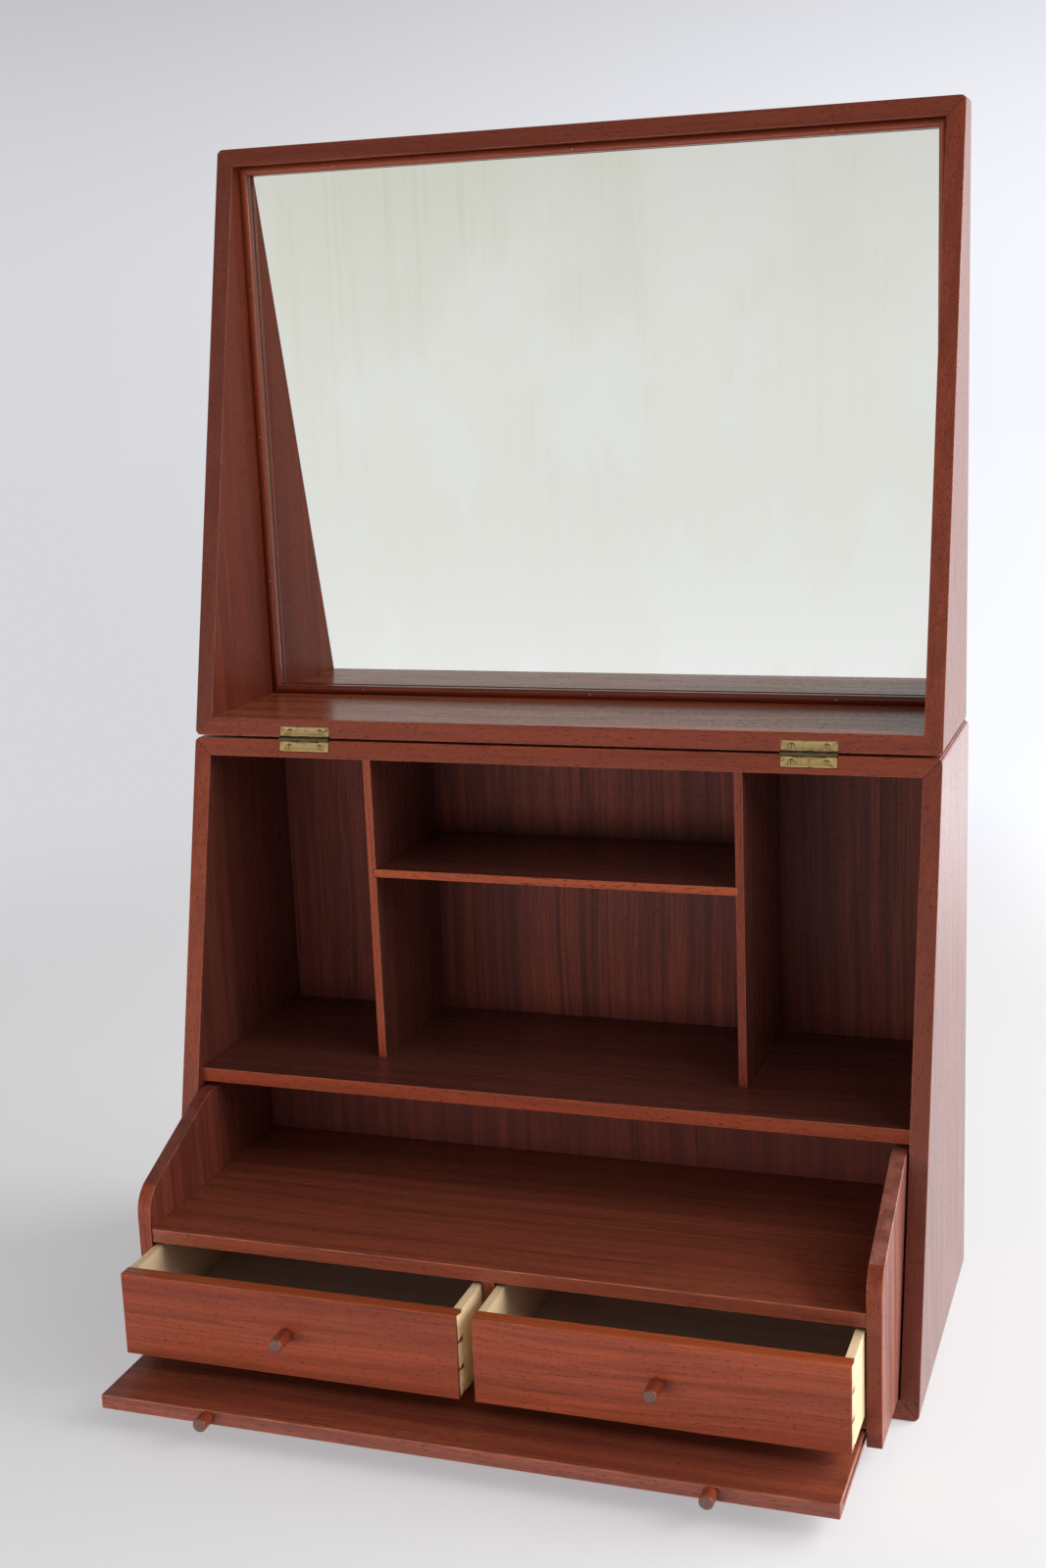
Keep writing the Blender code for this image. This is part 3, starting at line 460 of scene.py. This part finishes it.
# ---- lid boards ----------------------------------------------------------------------------------------
# The fold-over lid: four more mitred teak boards that deepen towards the hinge, and a veneered panel behind
# the mirror.
lid_low = Vector(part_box("lid_bottom")[0])
lid_high = Vector(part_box("lid_top")[1])
lid_mitre = in_mitre(lid_low, lid_high)
LID_LIGHT = (0.230, 0.046, 0.022, 1.0)
LID_DARK = (0.112, 0.020, 0.011, 1.0)
# The lid floor's brighter tone stands in for the mirror and surround that it reflects: painted reflection.
LID_FLOOR_PAINTED_REFLECTION = (0.560, 0.140, 0.052, 1.0)
# The right side's face and the left side's and top's rims take darker tones for how they are lit: painted shade.
for board, along, seed, satin, gloss, light, rim_light in (
        ("side_left", "Z", 10.0, 0.32, 0.18, LID_LIGHT, (0.150, 0.038, 0.024, 1.0)),
        ("side_right", "Z", 11.0, 0.36, 0.50, (0.120, 0.031, 0.018, 1.0), LID_LIGHT),
        ("top", "X", 12.0, 0.25, 0.35, LID_LIGHT, (0.180, 0.038, 0.019, 1.0)),
        ("bottom", "X", 13.0, 0.19, 0.90, LID_FLOOR_PAINTED_REFLECTION, LID_LIGHT)):
    rim_wood = teak(f"lid_{board}_rim_teak", along, seed + RIM_SEED_SHIFT, 0.45, 0.8, 0.25, rim_light, LID_DARK,
                    gloss=RIM_GLOSS)
    face_wood = teak(f"lid_{board}_teak", along, seed, light=light, dark=LID_DARK, satin=satin, gloss=gloss)
    eased(f"lid_{board}", face_wood, sharp=lid_mitre, painted_light_copy=rim_wood)
eased("lid_back_panel", teak("lid_panel_teak", "Z", 14.0, 0.9, 0.5, 0.0, PANEL_LIGHT_PAINTED_SHADE, PANEL_DARK_PAINTED_SHADE), PANEL_EASE)

# ---- mirror --------------------------------------------------------------------------------------------
# One sheet of old silvered glass, slightly green. Its silver has aged from the top: yellowish stains that run
# down in fine drips, and clearer, cooler patches lower down.
SILVER_CLEAR = (0.885, 0.895, 0.870, 1.0)
SILVER_CLOUDED = (0.862, 0.876, 0.838, 1.0)
SILVER_STAINED = (0.780, 0.790, 0.655, 1.0)
SILVER_COOL = (0.905, 0.920, 0.930, 1.0)
STAINED_FROM = 0.17
STAINED_MOST_AT = -0.06
STAINED_LEAST = 0.35
GLASS_EASE = 0.0004
glass_low, glass_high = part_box("mirror_glass")
silvered = bpy.data.materials.new("silvered_glass")
silvered.use_nodes = True
tree = silvered.node_tree
shader = tree.nodes["Principled BSDF"]
place = node(tree, "ShaderNodeTexCoord").outputs["Object"]


def silver_noise(scale, detail, low, high):
    """A mask from noise that is stretched by scale along each axis, between two levels."""
    laid = node(silvered.node_tree, "ShaderNodeVectorMath", {0: place, 1: scale}, operation="MULTIPLY")
    noise = node(silvered.node_tree, "ShaderNodeTexNoise", {"Vector": laid.outputs["Vector"], "Scale": 1.0,
                                                            "Detail": detail, "Roughness": 0.6})
    step = node(silvered.node_tree, "ShaderNodeMapRange", {"Value": noise.outputs["Fac"], "From Min": low,
                                                           "From Max": high}, interpolation_type="SMOOTHSTEP")
    return step.outputs["Result"]


def silver_math(operation, first, second):
    """The result of a sum on two masks."""
    return node(silvered.node_tree, "ShaderNodeMath", {0: first, 1: second}, operation=operation).outputs["Value"]


def silver_over(amount, below, above):
    """One colour of silver laid over another by an amount."""
    return node(silvered.node_tree, "ShaderNodeMix", {0: amount, 6: below, 7: above}, data_type="RGBA").outputs[2]


axes = node(tree, "ShaderNodeSeparateXYZ", {"Vector": place})
upper = node(tree, "ShaderNodeMapRange", {"Value": axes.outputs["Z"], "From Min": glass_low.z + STAINED_FROM,
                                          "From Max": glass_high.z},
             interpolation_type="SMOOTHSTEP").outputs["Result"]
leftward = node(tree, "ShaderNodeMapRange", {"Value": axes.outputs["X"], "From Min": glass_high.x,
                                             "From Max": STAINED_MOST_AT, "To Min": STAINED_LEAST}).outputs["Result"]
drips = silver_noise((120.0, 1.0, 4.0), 5.0, 0.34, 0.66)
stains = silver_noise((6.0, 1.0, 5.0), 4.0, 0.34, 0.60)
clouds = silver_noise((6.0, 1.0, 5.0), 3.0, 0.32, 0.68)
cool = silver_noise((8.5, 1.0, 4.5), 5.0, 0.50, 0.57)
specks = silver_noise((420.0, 1.0, 420.0), 2.0, 0.66, 0.74)
veil = silver_math("MULTIPLY", silver_math("MAXIMUM", drips, 0.4), clouds)
stained = silver_math("MULTIPLY", silver_math("MULTIPLY", silver_math("MAXIMUM", drips, 0.6), stains), upper)
stained = silver_math("MULTIPLY", stained, leftward)
cooled = silver_math("MULTIPLY", silver_math("MULTIPLY", cool, silver_math("SUBTRACT", 1.0, upper)), 0.7)
silver = silver_over(veil, SILVER_CLEAR, SILVER_CLOUDED)
silver = silver_over(cooled, silver, SILVER_COOL)
silver = silver_over(silver_math("MULTIPLY", stained, 0.8), silver, SILVER_STAINED)
silver = silver_over(silver_math("MULTIPLY", specks, 0.25), silver, SILVER_STAINED)
tree.links.new(silver, shader.inputs["Base Color"])
shader.inputs["Metallic"].default_value = 1.0
haze = node(tree, "ShaderNodeMapRange", {"Value": veil, "To Min": 0.012, "To Max": 0.030})
tree.links.new(haze.outputs["Result"], shader.inputs["Roughness"])
eased("mirror_glass", silvered, GLASS_EASE, suffix="silvered")

# ---- mirror beads --------------------------------------------------------------------------------------
# Slim teak beads, mitred at the corners, that hold the glass. Each is fixed with three small brass brads,
# whose heads stand a quarter of a millimetre proud.
BEAD_EASE = 0.0003
bead_low = Vector(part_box("mirror_bead_bottom")[0])
bead_high = Vector(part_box("mirror_bead_top")[1])
bead_mitre = in_mitre(bead_low, bead_high)
for bead, along, seed in (("left", "Z", 15.0), ("right", "Z", 16.0), ("top", "X", 17.0), ("bottom", "X", 18.0)):
    eased(f"mirror_bead_{bead}", teak(f"bead_{bead}_teak", along, seed, 0.45, 0.5, 0.4), BEAD_EASE,
          sharp=bead_mitre, suffix="bead")

BRAD_RADIUS = 0.0008
BRAD_PROUD = 0.00025
BRAD_SPOTS = (-0.215, 0.0, 0.215)
BRAD_UPRIGHT_SHARE = 0.6
brad_y = bead_low.y
bead_middle = (bead_high.z + bead_low.z) / 2
bead_half = (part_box("mirror_bead_bottom")[1].z - bead_low.z) / 2
brads = bmesh.new()
heads = [(across, bead_low.z + bead_half) for across in BRAD_SPOTS]
heads += [(across, bead_high.z - bead_half) for across in BRAD_SPOTS]
heads += [(side, bead_middle + BRAD_UPRIGHT_SHARE * across)
          for side in (bead_low.x + bead_half, bead_high.x - bead_half) for across in BRAD_SPOTS]
for across, height in heads:
    dome = bmesh.ops.create_uvsphere(brads, u_segments=12, v_segments=6, radius=BRAD_RADIUS)
    bmesh.ops.scale(brads, verts=dome["verts"], vec=(1.0, BRAD_PROUD / BRAD_RADIUS, 1.0))
    bmesh.ops.translate(brads, verts=dome["verts"], vec=(across, brad_y, height))

# ---- hinges --------------------------------------------------------------------------------------------
# Two brass butt hinges let in flush with the rims, dulled and greenish where they aren't rubbed, with
# slotted countersunk screws and a pin through the knuckles.
BRASS_BRIGHT = (0.700, 0.480, 0.215, 1.0)
BRASS_TARNISHED = (0.215, 0.165, 0.085, 1.0)
BRASS_BLACKENED = (0.070, 0.062, 0.040, 1.0)
BRASS_RELIEF = 0.2
BARREL_DIRT = (0.0034, 0.0022)
LEAF_EASE = 0.00015


def brass_group():
    """Old brass: bright where it's rubbed, dull in patches, and blackened where its mask says."""
    group = bpy.data.node_groups.new("brass_patina", "ShaderNodeTree")
    for name, kind in (("Vector", "NodeSocketVector"), ("Tarnish", "NodeSocketFloat"), ("Black", "NodeSocketFloat")):
        group.interface.new_socket(name, in_out="INPUT", socket_type=kind)
    for name, kind in (("Color", "NodeSocketColor"), ("Roughness", "NodeSocketFloat"), ("Height", "NodeSocketFloat")):
        group.interface.new_socket(name, in_out="OUTPUT", socket_type=kind)
    start = group.nodes.new("NodeGroupInput")
    end = group.nodes.new("NodeGroupOutput")
    noise = node(group, "ShaderNodeTexNoise", {"Vector": start.outputs["Vector"], "Scale": 190.0, "Detail": 5.0,
                                               "Roughness": 0.65})
    spread = node(group, "ShaderNodeMath", {0: start.outputs["Tarnish"], 1: 0.35}, operation="MULTIPLY")
    raised = node(group, "ShaderNodeMath", {0: noise.outputs["Fac"], 1: spread.outputs["Value"]}, operation="ADD")
    dull = node(group, "ShaderNodeMapRange", {"Value": raised.outputs["Value"], "From Min": 0.62, "From Max": 0.85})
    colour = node(group, "ShaderNodeMix", {0: dull.outputs["Result"], 6: BRASS_BRIGHT, 7: BRASS_TARNISHED},
                  data_type="RGBA")
    darkened = node(group, "ShaderNodeMix", {0: start.outputs["Black"], 6: colour.outputs[2], 7: BRASS_BLACKENED},
                    data_type="RGBA")
    rough = node(group, "ShaderNodeMapRange", {"Value": dull.outputs["Result"], "To Min": 0.34, "To Max": 0.60})
    group.links.new(darkened.outputs[2], end.inputs["Color"])
    group.links.new(rough.outputs["Result"], end.inputs["Roughness"])
    group.links.new(noise.outputs["Fac"], end.inputs["Height"])
    return group


SCREW_RING = (0.00185, 0.00225)
SCREW_SLOT = 0.00040


def screw_dirt_and_shade_group():
    """Mask of the dark on a slotted head, in its upright slot and in the line round its countersink: partly dirt,
    partly painted shade.
    """
    group = bpy.data.node_groups.new("screw_slot_dirt_and_shade", "ShaderNodeTree")
    for name in ("Vector", "Centre"):
        group.interface.new_socket(name, in_out="INPUT", socket_type="NodeSocketVector")
    group.interface.new_socket("Black", in_out="OUTPUT", socket_type="NodeSocketFloat")
    start = group.nodes.new("NodeGroupInput")
    end = group.nodes.new("NodeGroupOutput")
    centred = node(group, "ShaderNodeVectorMath", {0: start.outputs["Vector"], 1: start.outputs["Centre"]},
                   operation="SUBTRACT")
    flat = node(group, "ShaderNodeVectorMath", {0: centred.outputs["Vector"], 1: (1.0, 0.0, 1.0)},
                operation="MULTIPLY")
    away = node(group, "ShaderNodeVectorMath", {0: flat.outputs["Vector"]}, operation="LENGTH")
    ring = node(group, "ShaderNodeMapRange", {"Value": away.outputs["Value"], "From Min": SCREW_RING[0],
                                              "From Max": SCREW_RING[1]})
    axes = node(group, "ShaderNodeSeparateXYZ", {"Vector": flat.outputs["Vector"]})
    off_slot = node(group, "ShaderNodeMath", {0: axes.outputs["X"]}, operation="ABSOLUTE")
    slot = node(group, "ShaderNodeMapRange", {"Value": off_slot.outputs["Value"], "From Min": SCREW_SLOT,
                                              "From Max": SCREW_SLOT * 0.7})
    dark = node(group, "ShaderNodeMath", {0: ring.outputs["Result"], 1: slot.outputs["Result"]}, operation="MAXIMUM")
    group.links.new(dark.outputs["Value"], end.inputs["Black"])
    return group


BRASS_PATINA = brass_group()
SCREW_DIRT_AND_SHADE = screw_dirt_and_shade_group()


def brass(name, seed, tarnish):
    """Brass for one kind of fitting. Its material, and the socket that blackens it."""
    material = bpy.data.materials.new(name)
    material.use_nodes = True
    tree = material.node_tree
    shader = tree.nodes["Principled BSDF"]
    place = node(tree, "ShaderNodeTexCoord").outputs["Object"]
    laid = node(tree, "ShaderNodeMapping", {"Vector": place, "Location": (seed, seed * 0.6, seed * 1.9)})
    patina = node(tree, "ShaderNodeGroup", node_tree=BRASS_PATINA)
    tree.links.new(laid.outputs["Vector"], patina.inputs["Vector"])
    patina.inputs["Tarnish"].default_value = tarnish
    tree.links.new(patina.outputs["Color"], shader.inputs["Base Color"])
    tree.links.new(patina.outputs["Roughness"], shader.inputs["Roughness"])
    bump = node(tree, "ShaderNodeBump", {"Height": patina.outputs["Height"], "Strength": BRASS_RELIEF,
                                         "Distance": RELIEF_DEPTH})
    tree.links.new(bump.outputs["Normal"], shader.inputs["Normal"])
    shader.inputs["Metallic"].default_value = 1.0
    return material, patina.inputs["Black"]


def leaf_brass(name, seed, tarnish, axis):
    """Leaf brass, blackened round the barrel, whose axis passes through (y, z)."""
    material, black = brass(name, seed, tarnish)
    tree = material.node_tree
    place = node(tree, "ShaderNodeTexCoord").outputs["Object"]
    centred = node(tree, "ShaderNodeMapping", {"Vector": place, "Location": (0.0, -axis[0], -axis[1])})
    across = node(tree, "ShaderNodeVectorMath", {0: centred.outputs["Vector"], 1: (0.0, 1.0, 1.0)},
                  operation="MULTIPLY")
    away = node(tree, "ShaderNodeVectorMath", {0: across.outputs["Vector"]}, operation="LENGTH")
    near = node(tree, "ShaderNodeMapRange", {"Value": away.outputs["Value"], "From Min": BARREL_DIRT[0],
                                             "From Max": BARREL_DIRT[1], "To Max": 0.85})
    tree.links.new(near.outputs["Result"], black)
    return material


def screw_brass(name, centre):
    """A bright slotted head, darker in its slot and round its edge: partly dirt, partly painted shade."""
    material, black = brass(name, 5.0, 0.0)
    tree = material.node_tree
    slot_dirt_and_shade = node(tree, "ShaderNodeGroup", node_tree=SCREW_DIRT_AND_SHADE)
    tree.links.new(node(tree, "ShaderNodeTexCoord").outputs["Object"], slot_dirt_and_shade.inputs["Vector"])
    slot_dirt_and_shade.inputs["Centre"].default_value = tuple(centre)
    tree.links.new(slot_dirt_and_shade.outputs["Black"], black)
    return material


shown("mirror_bead_brads", brads, brass("brad_brass", 4.0, 0.5)[0], frame["nodes"]["mirror_bead_top"]["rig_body"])
pin_low, pin_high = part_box("hinge_pin_left")
hinge_axis = ((pin_low.y + pin_high.y) / 2, (pin_low.z + pin_high.z) / 2)
leaf_metal = leaf_brass("hinge_leaf_brass", 1.0, 0.25, hinge_axis)
pin_metal = brass("hinge_pin_brass", 3.0, 0.7)[0]
for side in ("left", "right"):
    for level in ("lower", "upper"):
        eased(f"hinge_leaf_{level}_{side}", leaf_metal, LEAF_EASE, 1, shortest=0.006, suffix="brass")
        for number in (1, 2):
            screw = f"hinge_screw_{level}_{side}_{number}"
            screw_low, screw_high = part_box(screw)
            head = screw_brass(f"{screw}_brass", (screw_low + screw_high) / 2)
            frame["nodes"][screw].material_slots[0].material = head
    frame["nodes"][f"hinge_pin_{side}"].material_slots[0].material = pin_metal

# ---- drawer unit ---------------------------------------------------------------------------------------
# The sliding unit, in teak: two shaped sides, a tray, an upright panel behind it, a partition between the
# drawers and a dust panel under them. The slide runs on two beech tongues let into the sides.
# The tray and slide tones are greyed towards the colour of shade: painted shade. The upright panel behind the tray is
# darker for the shade under the shelf: painted shade.
UNIT_LIGHT_SHADE_TINTED = (0.290, 0.068, 0.034, 1.0)
UNIT_DARK_SHADE_TINTED = (0.135, 0.030, 0.017, 1.0)
UNIT_BACK_LIGHT_PAINTED_SHADE = (0.125, 0.028, 0.018, 1.0)
UNIT_EASE = 0.0008
# The left side's face tone is darker and greyer for its shade, and the right side's lighter and greyer for the sheen
# it catches: painted shade and a painted sheen.
for side, seed, satin, light in (("left", 20.0, 0.25, (0.215, 0.050, 0.030, 1.0)),
                                 ("right", 21.0, 0.38, (0.340, 0.115, 0.080, 1.0))):
    face_wood = teak(f"unit_side_{side}_teak", "Z", seed, light=light, dark=FACE_DARK_PAINTED_SHADE, satin=satin)
    eased(f"unit_side_{side}", face_wood, UNIT_EASE, 3,
          painted_light_copy=teak(f"unit_side_{side}_edge_teak", "Z", seed + RIM_SEED_SHIFT, gloss=RIM_GLOSS))
# The tray's eased edges take the most of the lighter edge colour: partly rubbed wear, partly a painted highlight.
eased("unit_tray", teak("unit_tray_teak", "X", 22.0, 0.55, 0.75, 0.9, UNIT_LIGHT_SHADE_TINTED, UNIT_DARK_SHADE_TINTED))
eased("unit_back_panel",
      teak("unit_back_teak", "Z", 23.0, 0.75, 0.6, 0.2, UNIT_BACK_LIGHT_PAINTED_SHADE, PANEL_DARK_PAINTED_SHADE, PANEL_SATIN, PANEL_GLOSS),
      PANEL_EASE)
eased("unit_partition", teak("unit_partition_teak", "Z", 24.0))
eased("unit_dust_panel", teak("unit_dust_teak", "X", 25.0, 0.8, 0.5, 0.2, PANEL_LIGHT_PAINTED_SHADE, PANEL_DARK_PAINTED_SHADE))

BEECH_LIGHT = (0.830, 0.640, 0.410, 1.0)
BEECH_DARK = (0.640, 0.440, 0.245, 1.0)
TONGUE_EASE = 0.0003


def beech_group():
    """Pale beech. The pattern's Z runs along the grain: faint bands and short fine flecks."""
    group = bpy.data.node_groups.new("beech_grain", "ShaderNodeTree")
    for name, kind in (("Vector", "NodeSocketVector"), ("Light", "NodeSocketColor"), ("Dark", "NodeSocketColor")):
        group.interface.new_socket(name, in_out="INPUT", socket_type=kind)
    for name, kind in (("Color", "NodeSocketColor"), ("Roughness", "NodeSocketFloat"), ("Height", "NodeSocketFloat")):
        group.interface.new_socket(name, in_out="OUTPUT", socket_type=kind)
    start = group.nodes.new("NodeGroupInput")
    end = group.nodes.new("NodeGroupOutput")
    noises = []
    for scale, detail in (((120.0, 120.0, 4.0), 3.0), ((1300.0, 1300.0, 190.0), 1.0)):
        laid = node(group, "ShaderNodeVectorMath", {0: start.outputs["Vector"], 1: scale}, operation="MULTIPLY")
        noises.append(node(group, "ShaderNodeTexNoise", {"Vector": laid.outputs["Vector"], "Scale": 1.0,
                                                         "Detail": detail}).outputs["Fac"])
    bands, flecks = noises
    band = node(group, "ShaderNodeMapRange", {"Value": bands, "From Min": 0.35, "From Max": 0.70, "To Max": 0.55})
    fleck = node(group, "ShaderNodeMapRange", {"Value": flecks, "From Min": 0.60, "From Max": 0.72, "To Max": 0.45})
    base = node(group, "ShaderNodeMix", {0: band.outputs["Result"], 6: start.outputs["Light"],
                                         7: start.outputs["Dark"]}, data_type="RGBA")
    flecked = node(group, "ShaderNodeMix", {0: fleck.outputs["Result"], 6: base.outputs[2],
                                            7: start.outputs["Dark"]}, data_type="RGBA")
    rough = node(group, "ShaderNodeMapRange", {"Value": bands, "To Min": 0.50, "To Max": 0.62})
    group.links.new(flecked.outputs[2], end.inputs["Color"])
    group.links.new(rough.outputs["Result"], end.inputs["Roughness"])
    group.links.new(flecks, end.inputs["Height"])
    return group


BEECH_GRAIN = beech_group()


def beech(name, along, seed, light=BEECH_LIGHT, dark=BEECH_DARK):
    """Bare beech for one board."""
    material = bpy.data.materials.new(name)
    material.use_nodes = True
    tree = material.node_tree
    shader = tree.nodes["Principled BSDF"]
    place = node(tree, "ShaderNodeTexCoord").outputs["Object"]
    laid = node(tree, "ShaderNodeMapping", {"Vector": place, "Location": tuple(seed * step for step in LOG_STEP),
                                            "Rotation": ALONG[along]})
    grain = node(tree, "ShaderNodeGroup", node_tree=BEECH_GRAIN)
    tree.links.new(laid.outputs["Vector"], grain.inputs["Vector"])
    grain.inputs["Light"].default_value = light
    grain.inputs["Dark"].default_value = dark
    bump = node(tree, "ShaderNodeBump", {"Height": grain.outputs["Height"], "Strength": WOOD_RELIEF,
                                         "Distance": RELIEF_DEPTH})
    tree.links.new(grain.outputs["Color"], shader.inputs["Base Color"])
    tree.links.new(grain.outputs["Roughness"], shader.inputs["Roughness"])
    tree.links.new(bump.outputs["Normal"], shader.inputs["Normal"])
    return material


for side, seed in (("left", 26.0), ("right", 27.0)):
    eased(f"slide_runner_{side}", beech(f"slide_runner_{side}_beech", "Y", seed), TONGUE_EASE, 1, suffix="tongue")

# ---- drawers -------------------------------------------------------------------------------------------
# Two drawers with teak fronts, half-blind dovetailed to bare beech sides, with a back and floor of a greyer
# plywood. Each has a plain turned dowel knob on a tenon, its end cut across the grain, which reads grey.
FRONT_LIGHTS = {"left": (0.315, 0.061, 0.024, 1.0), "right": (0.370, 0.073, 0.028, 1.0)}
# The drawer fronts' top faces take a lighter tone for the light that falls on them from above: painted highlight.
FRONT_TOP_PAINTED_HIGHLIGHT = (0.400, 0.082, 0.024, 1.0)
PLY_LIGHT = (0.860, 0.740, 0.650, 1.0)
PLY_DARK = (0.700, 0.570, 0.480, 1.0)
KNOB_GRAIN_PITCH = 2400.0
KNOB_END_LIGHT = (0.170, 0.083, 0.068, 1.0)
KNOB_END_DARK = (0.095, 0.045, 0.038, 1.0)
KNOB_END_FADE = (0.0016, 0.0004)
KNOB_SEGMENTS = 40
TENON_LENGTH = 0.008
TENON_RADIUS = 0.003
KNOB_SEAT_GAP = 0.0003
DRAWER_SIDE_EASE = 0.0004
PLY_EASE = 0.0003


def knob_end_group():
    """Turns the colour of a knob to end grain from a given depth forward."""
    group = bpy.data.node_groups.new("knob_end_grain", "ShaderNodeTree")
    for name, kind in (("Vector", "NodeSocketVector"), ("Color", "NodeSocketColor"), ("Front", "NodeSocketFloat")):
        group.interface.new_socket(name, in_out="INPUT", socket_type=kind)
    group.interface.new_socket("Color", in_out="OUTPUT", socket_type="NodeSocketColor")
    start = group.nodes.new("NodeGroupInput")
    end = group.nodes.new("NodeGroupOutput")
    axes = node(group, "ShaderNodeSeparateXYZ", {"Vector": start.outputs["Vector"]})
    depth = node(group, "ShaderNodeMath", {0: axes.outputs["Y"], 1: start.outputs["Front"]}, operation="SUBTRACT")
    amount = node(group, "ShaderNodeMapRange", {"Value": depth.outputs["Value"], "From Min": KNOB_END_FADE[0],
                                                "From Max": KNOB_END_FADE[1]})
    rings = node(group, "ShaderNodeTexNoise", {"Vector": start.outputs["Vector"], "Scale": KNOB_GRAIN_PITCH,
                                               "Detail": 1.0})
    across = node(group, "ShaderNodeMix", {0: rings.outputs["Fac"], 6: KNOB_END_LIGHT, 7: KNOB_END_DARK},
                  data_type="RGBA")
    mixed = node(group, "ShaderNodeMix", {0: amount.outputs["Result"], 6: start.outputs["Color"],
                                          7: across.outputs[2]}, data_type="RGBA")
    group.links.new(mixed.outputs[2], end.inputs["Color"])
    return group


KNOB_END_GRAIN = knob_end_group()


def knob_teak(name, seed, front):
    """Teak with its grain along the knob, and end grain on the end that faces forward."""
    material = teak(name, "Y", seed, 0.5, 0.5, 0.3)
    tree = material.node_tree
    shader = tree.nodes["Principled BSDF"]
    cut_end = node(tree, "ShaderNodeGroup", node_tree=KNOB_END_GRAIN)
    tree.links.new(node(tree, "ShaderNodeTexCoord").outputs["Object"], cut_end.inputs["Vector"])
    tree.links.new(shader.inputs["Base Color"].links[0].from_socket, cut_end.inputs["Color"])
    cut_end.inputs["Front"].default_value = front
    tree.links.new(cut_end.outputs["Color"], shader.inputs["Base Color"])
    return material


def turned_knob(cad_name, seed):
    """A dowel turned on the lathe: a tenon, a straight shank and a slightly domed, eased end."""
    low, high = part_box(cad_name)
    radius = (high.x - low.x) / 2
    middle = (low + high) / 2
    seat = high.y - TENON_LENGTH - KNOB_SEAT_GAP
    front = low.y
    profile = [(0.0, front), (radius * 0.45, front + 0.00012), (radius * 0.75, front + 0.0004),
               (radius * 0.92, front + 0.0009), (radius, front + 0.0019), (radius, seat),
               (TENON_RADIUS, seat), (TENON_RADIUS, high.y), (0.0, high.y)]
    bm = bmesh.new()
    points = [bm.verts.new((middle.x + out, y, middle.z)) for out, y in profile]
    line = [bm.edges.new(pair) for pair in zip(points[:-1], points[1:])]
    bmesh.ops.spin(bm, geom=points + line, cent=(middle.x, 0.0, middle.z), axis=(0.0, 1.0, 0.0), angle=tau,
                   steps=KNOB_SEGMENTS, use_merge=True)
    bmesh.ops.remove_doubles(bm, verts=bm.verts, dist=MERGE_DISTANCE)
    bmesh.ops.recalc_face_normals(bm, faces=bm.faces)
    shown(f"{cad_name}_turned", bm, knob_teak(f"{cad_name}_teak", seed, front),
          frame["nodes"][cad_name]["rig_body"], [cad_name])


for side, seed in (("left", 30.0), ("right", 40.0)):
    name = f"drawer_{side}"
    top_highlight_wood = teak(f"{name}_front_top_teak", "X", seed + 6.0, 0.40, 0.4, 0.35, FRONT_TOP_PAINTED_HIGHLIGHT)
    front_wood = teak(f"{name}_front_teak", "X", seed, 0.60, 0.6, 0.35, FRONT_LIGHTS[side], satin=0.40, gloss=0.33)
    eased(f"{name}_front", front_wood, shortest=0.020, suffix="face", painted_light_copy=top_highlight_wood, painted_light_side=(0.0, 0.0, 1.0))
    for part, shift in (("side_a", 1.0), ("side_b", 2.0)):
        eased(f"{name}_{part}", beech(f"{name}_{part}_beech", "Y", seed + shift), DRAWER_SIDE_EASE, shortest=0.030)
    for part, shift in (("back", 3.0), ("floor", 4.0)):
        eased(f"{name}_{part}", beech(f"{name}_{part}_plywood", "X", seed + shift, PLY_LIGHT, PLY_DARK), PLY_EASE)
    turned_knob(f"{name}_knob", seed + 5.0)

# ---- pull-out slide ------------------------------------------------------------------------------------
# A thin full-width teak board with rounded edges, grooved at its ends for the tongues. It draws out from
# under the drawers by two short dowel knobs.
SLIDE_EASE = 0.0010
eased("slide_board", teak("slide_board_teak", "X", 50.0, 0.6, 0.75, 0.5, UNIT_LIGHT_SHADE_TINTED, UNIT_DARK_SHADE_TINTED), SLIDE_EASE, 3,
      shortest=0.008)
turned_knob("slide_knob_left", 51.0)
turned_knob("slide_knob_right", 52.0)
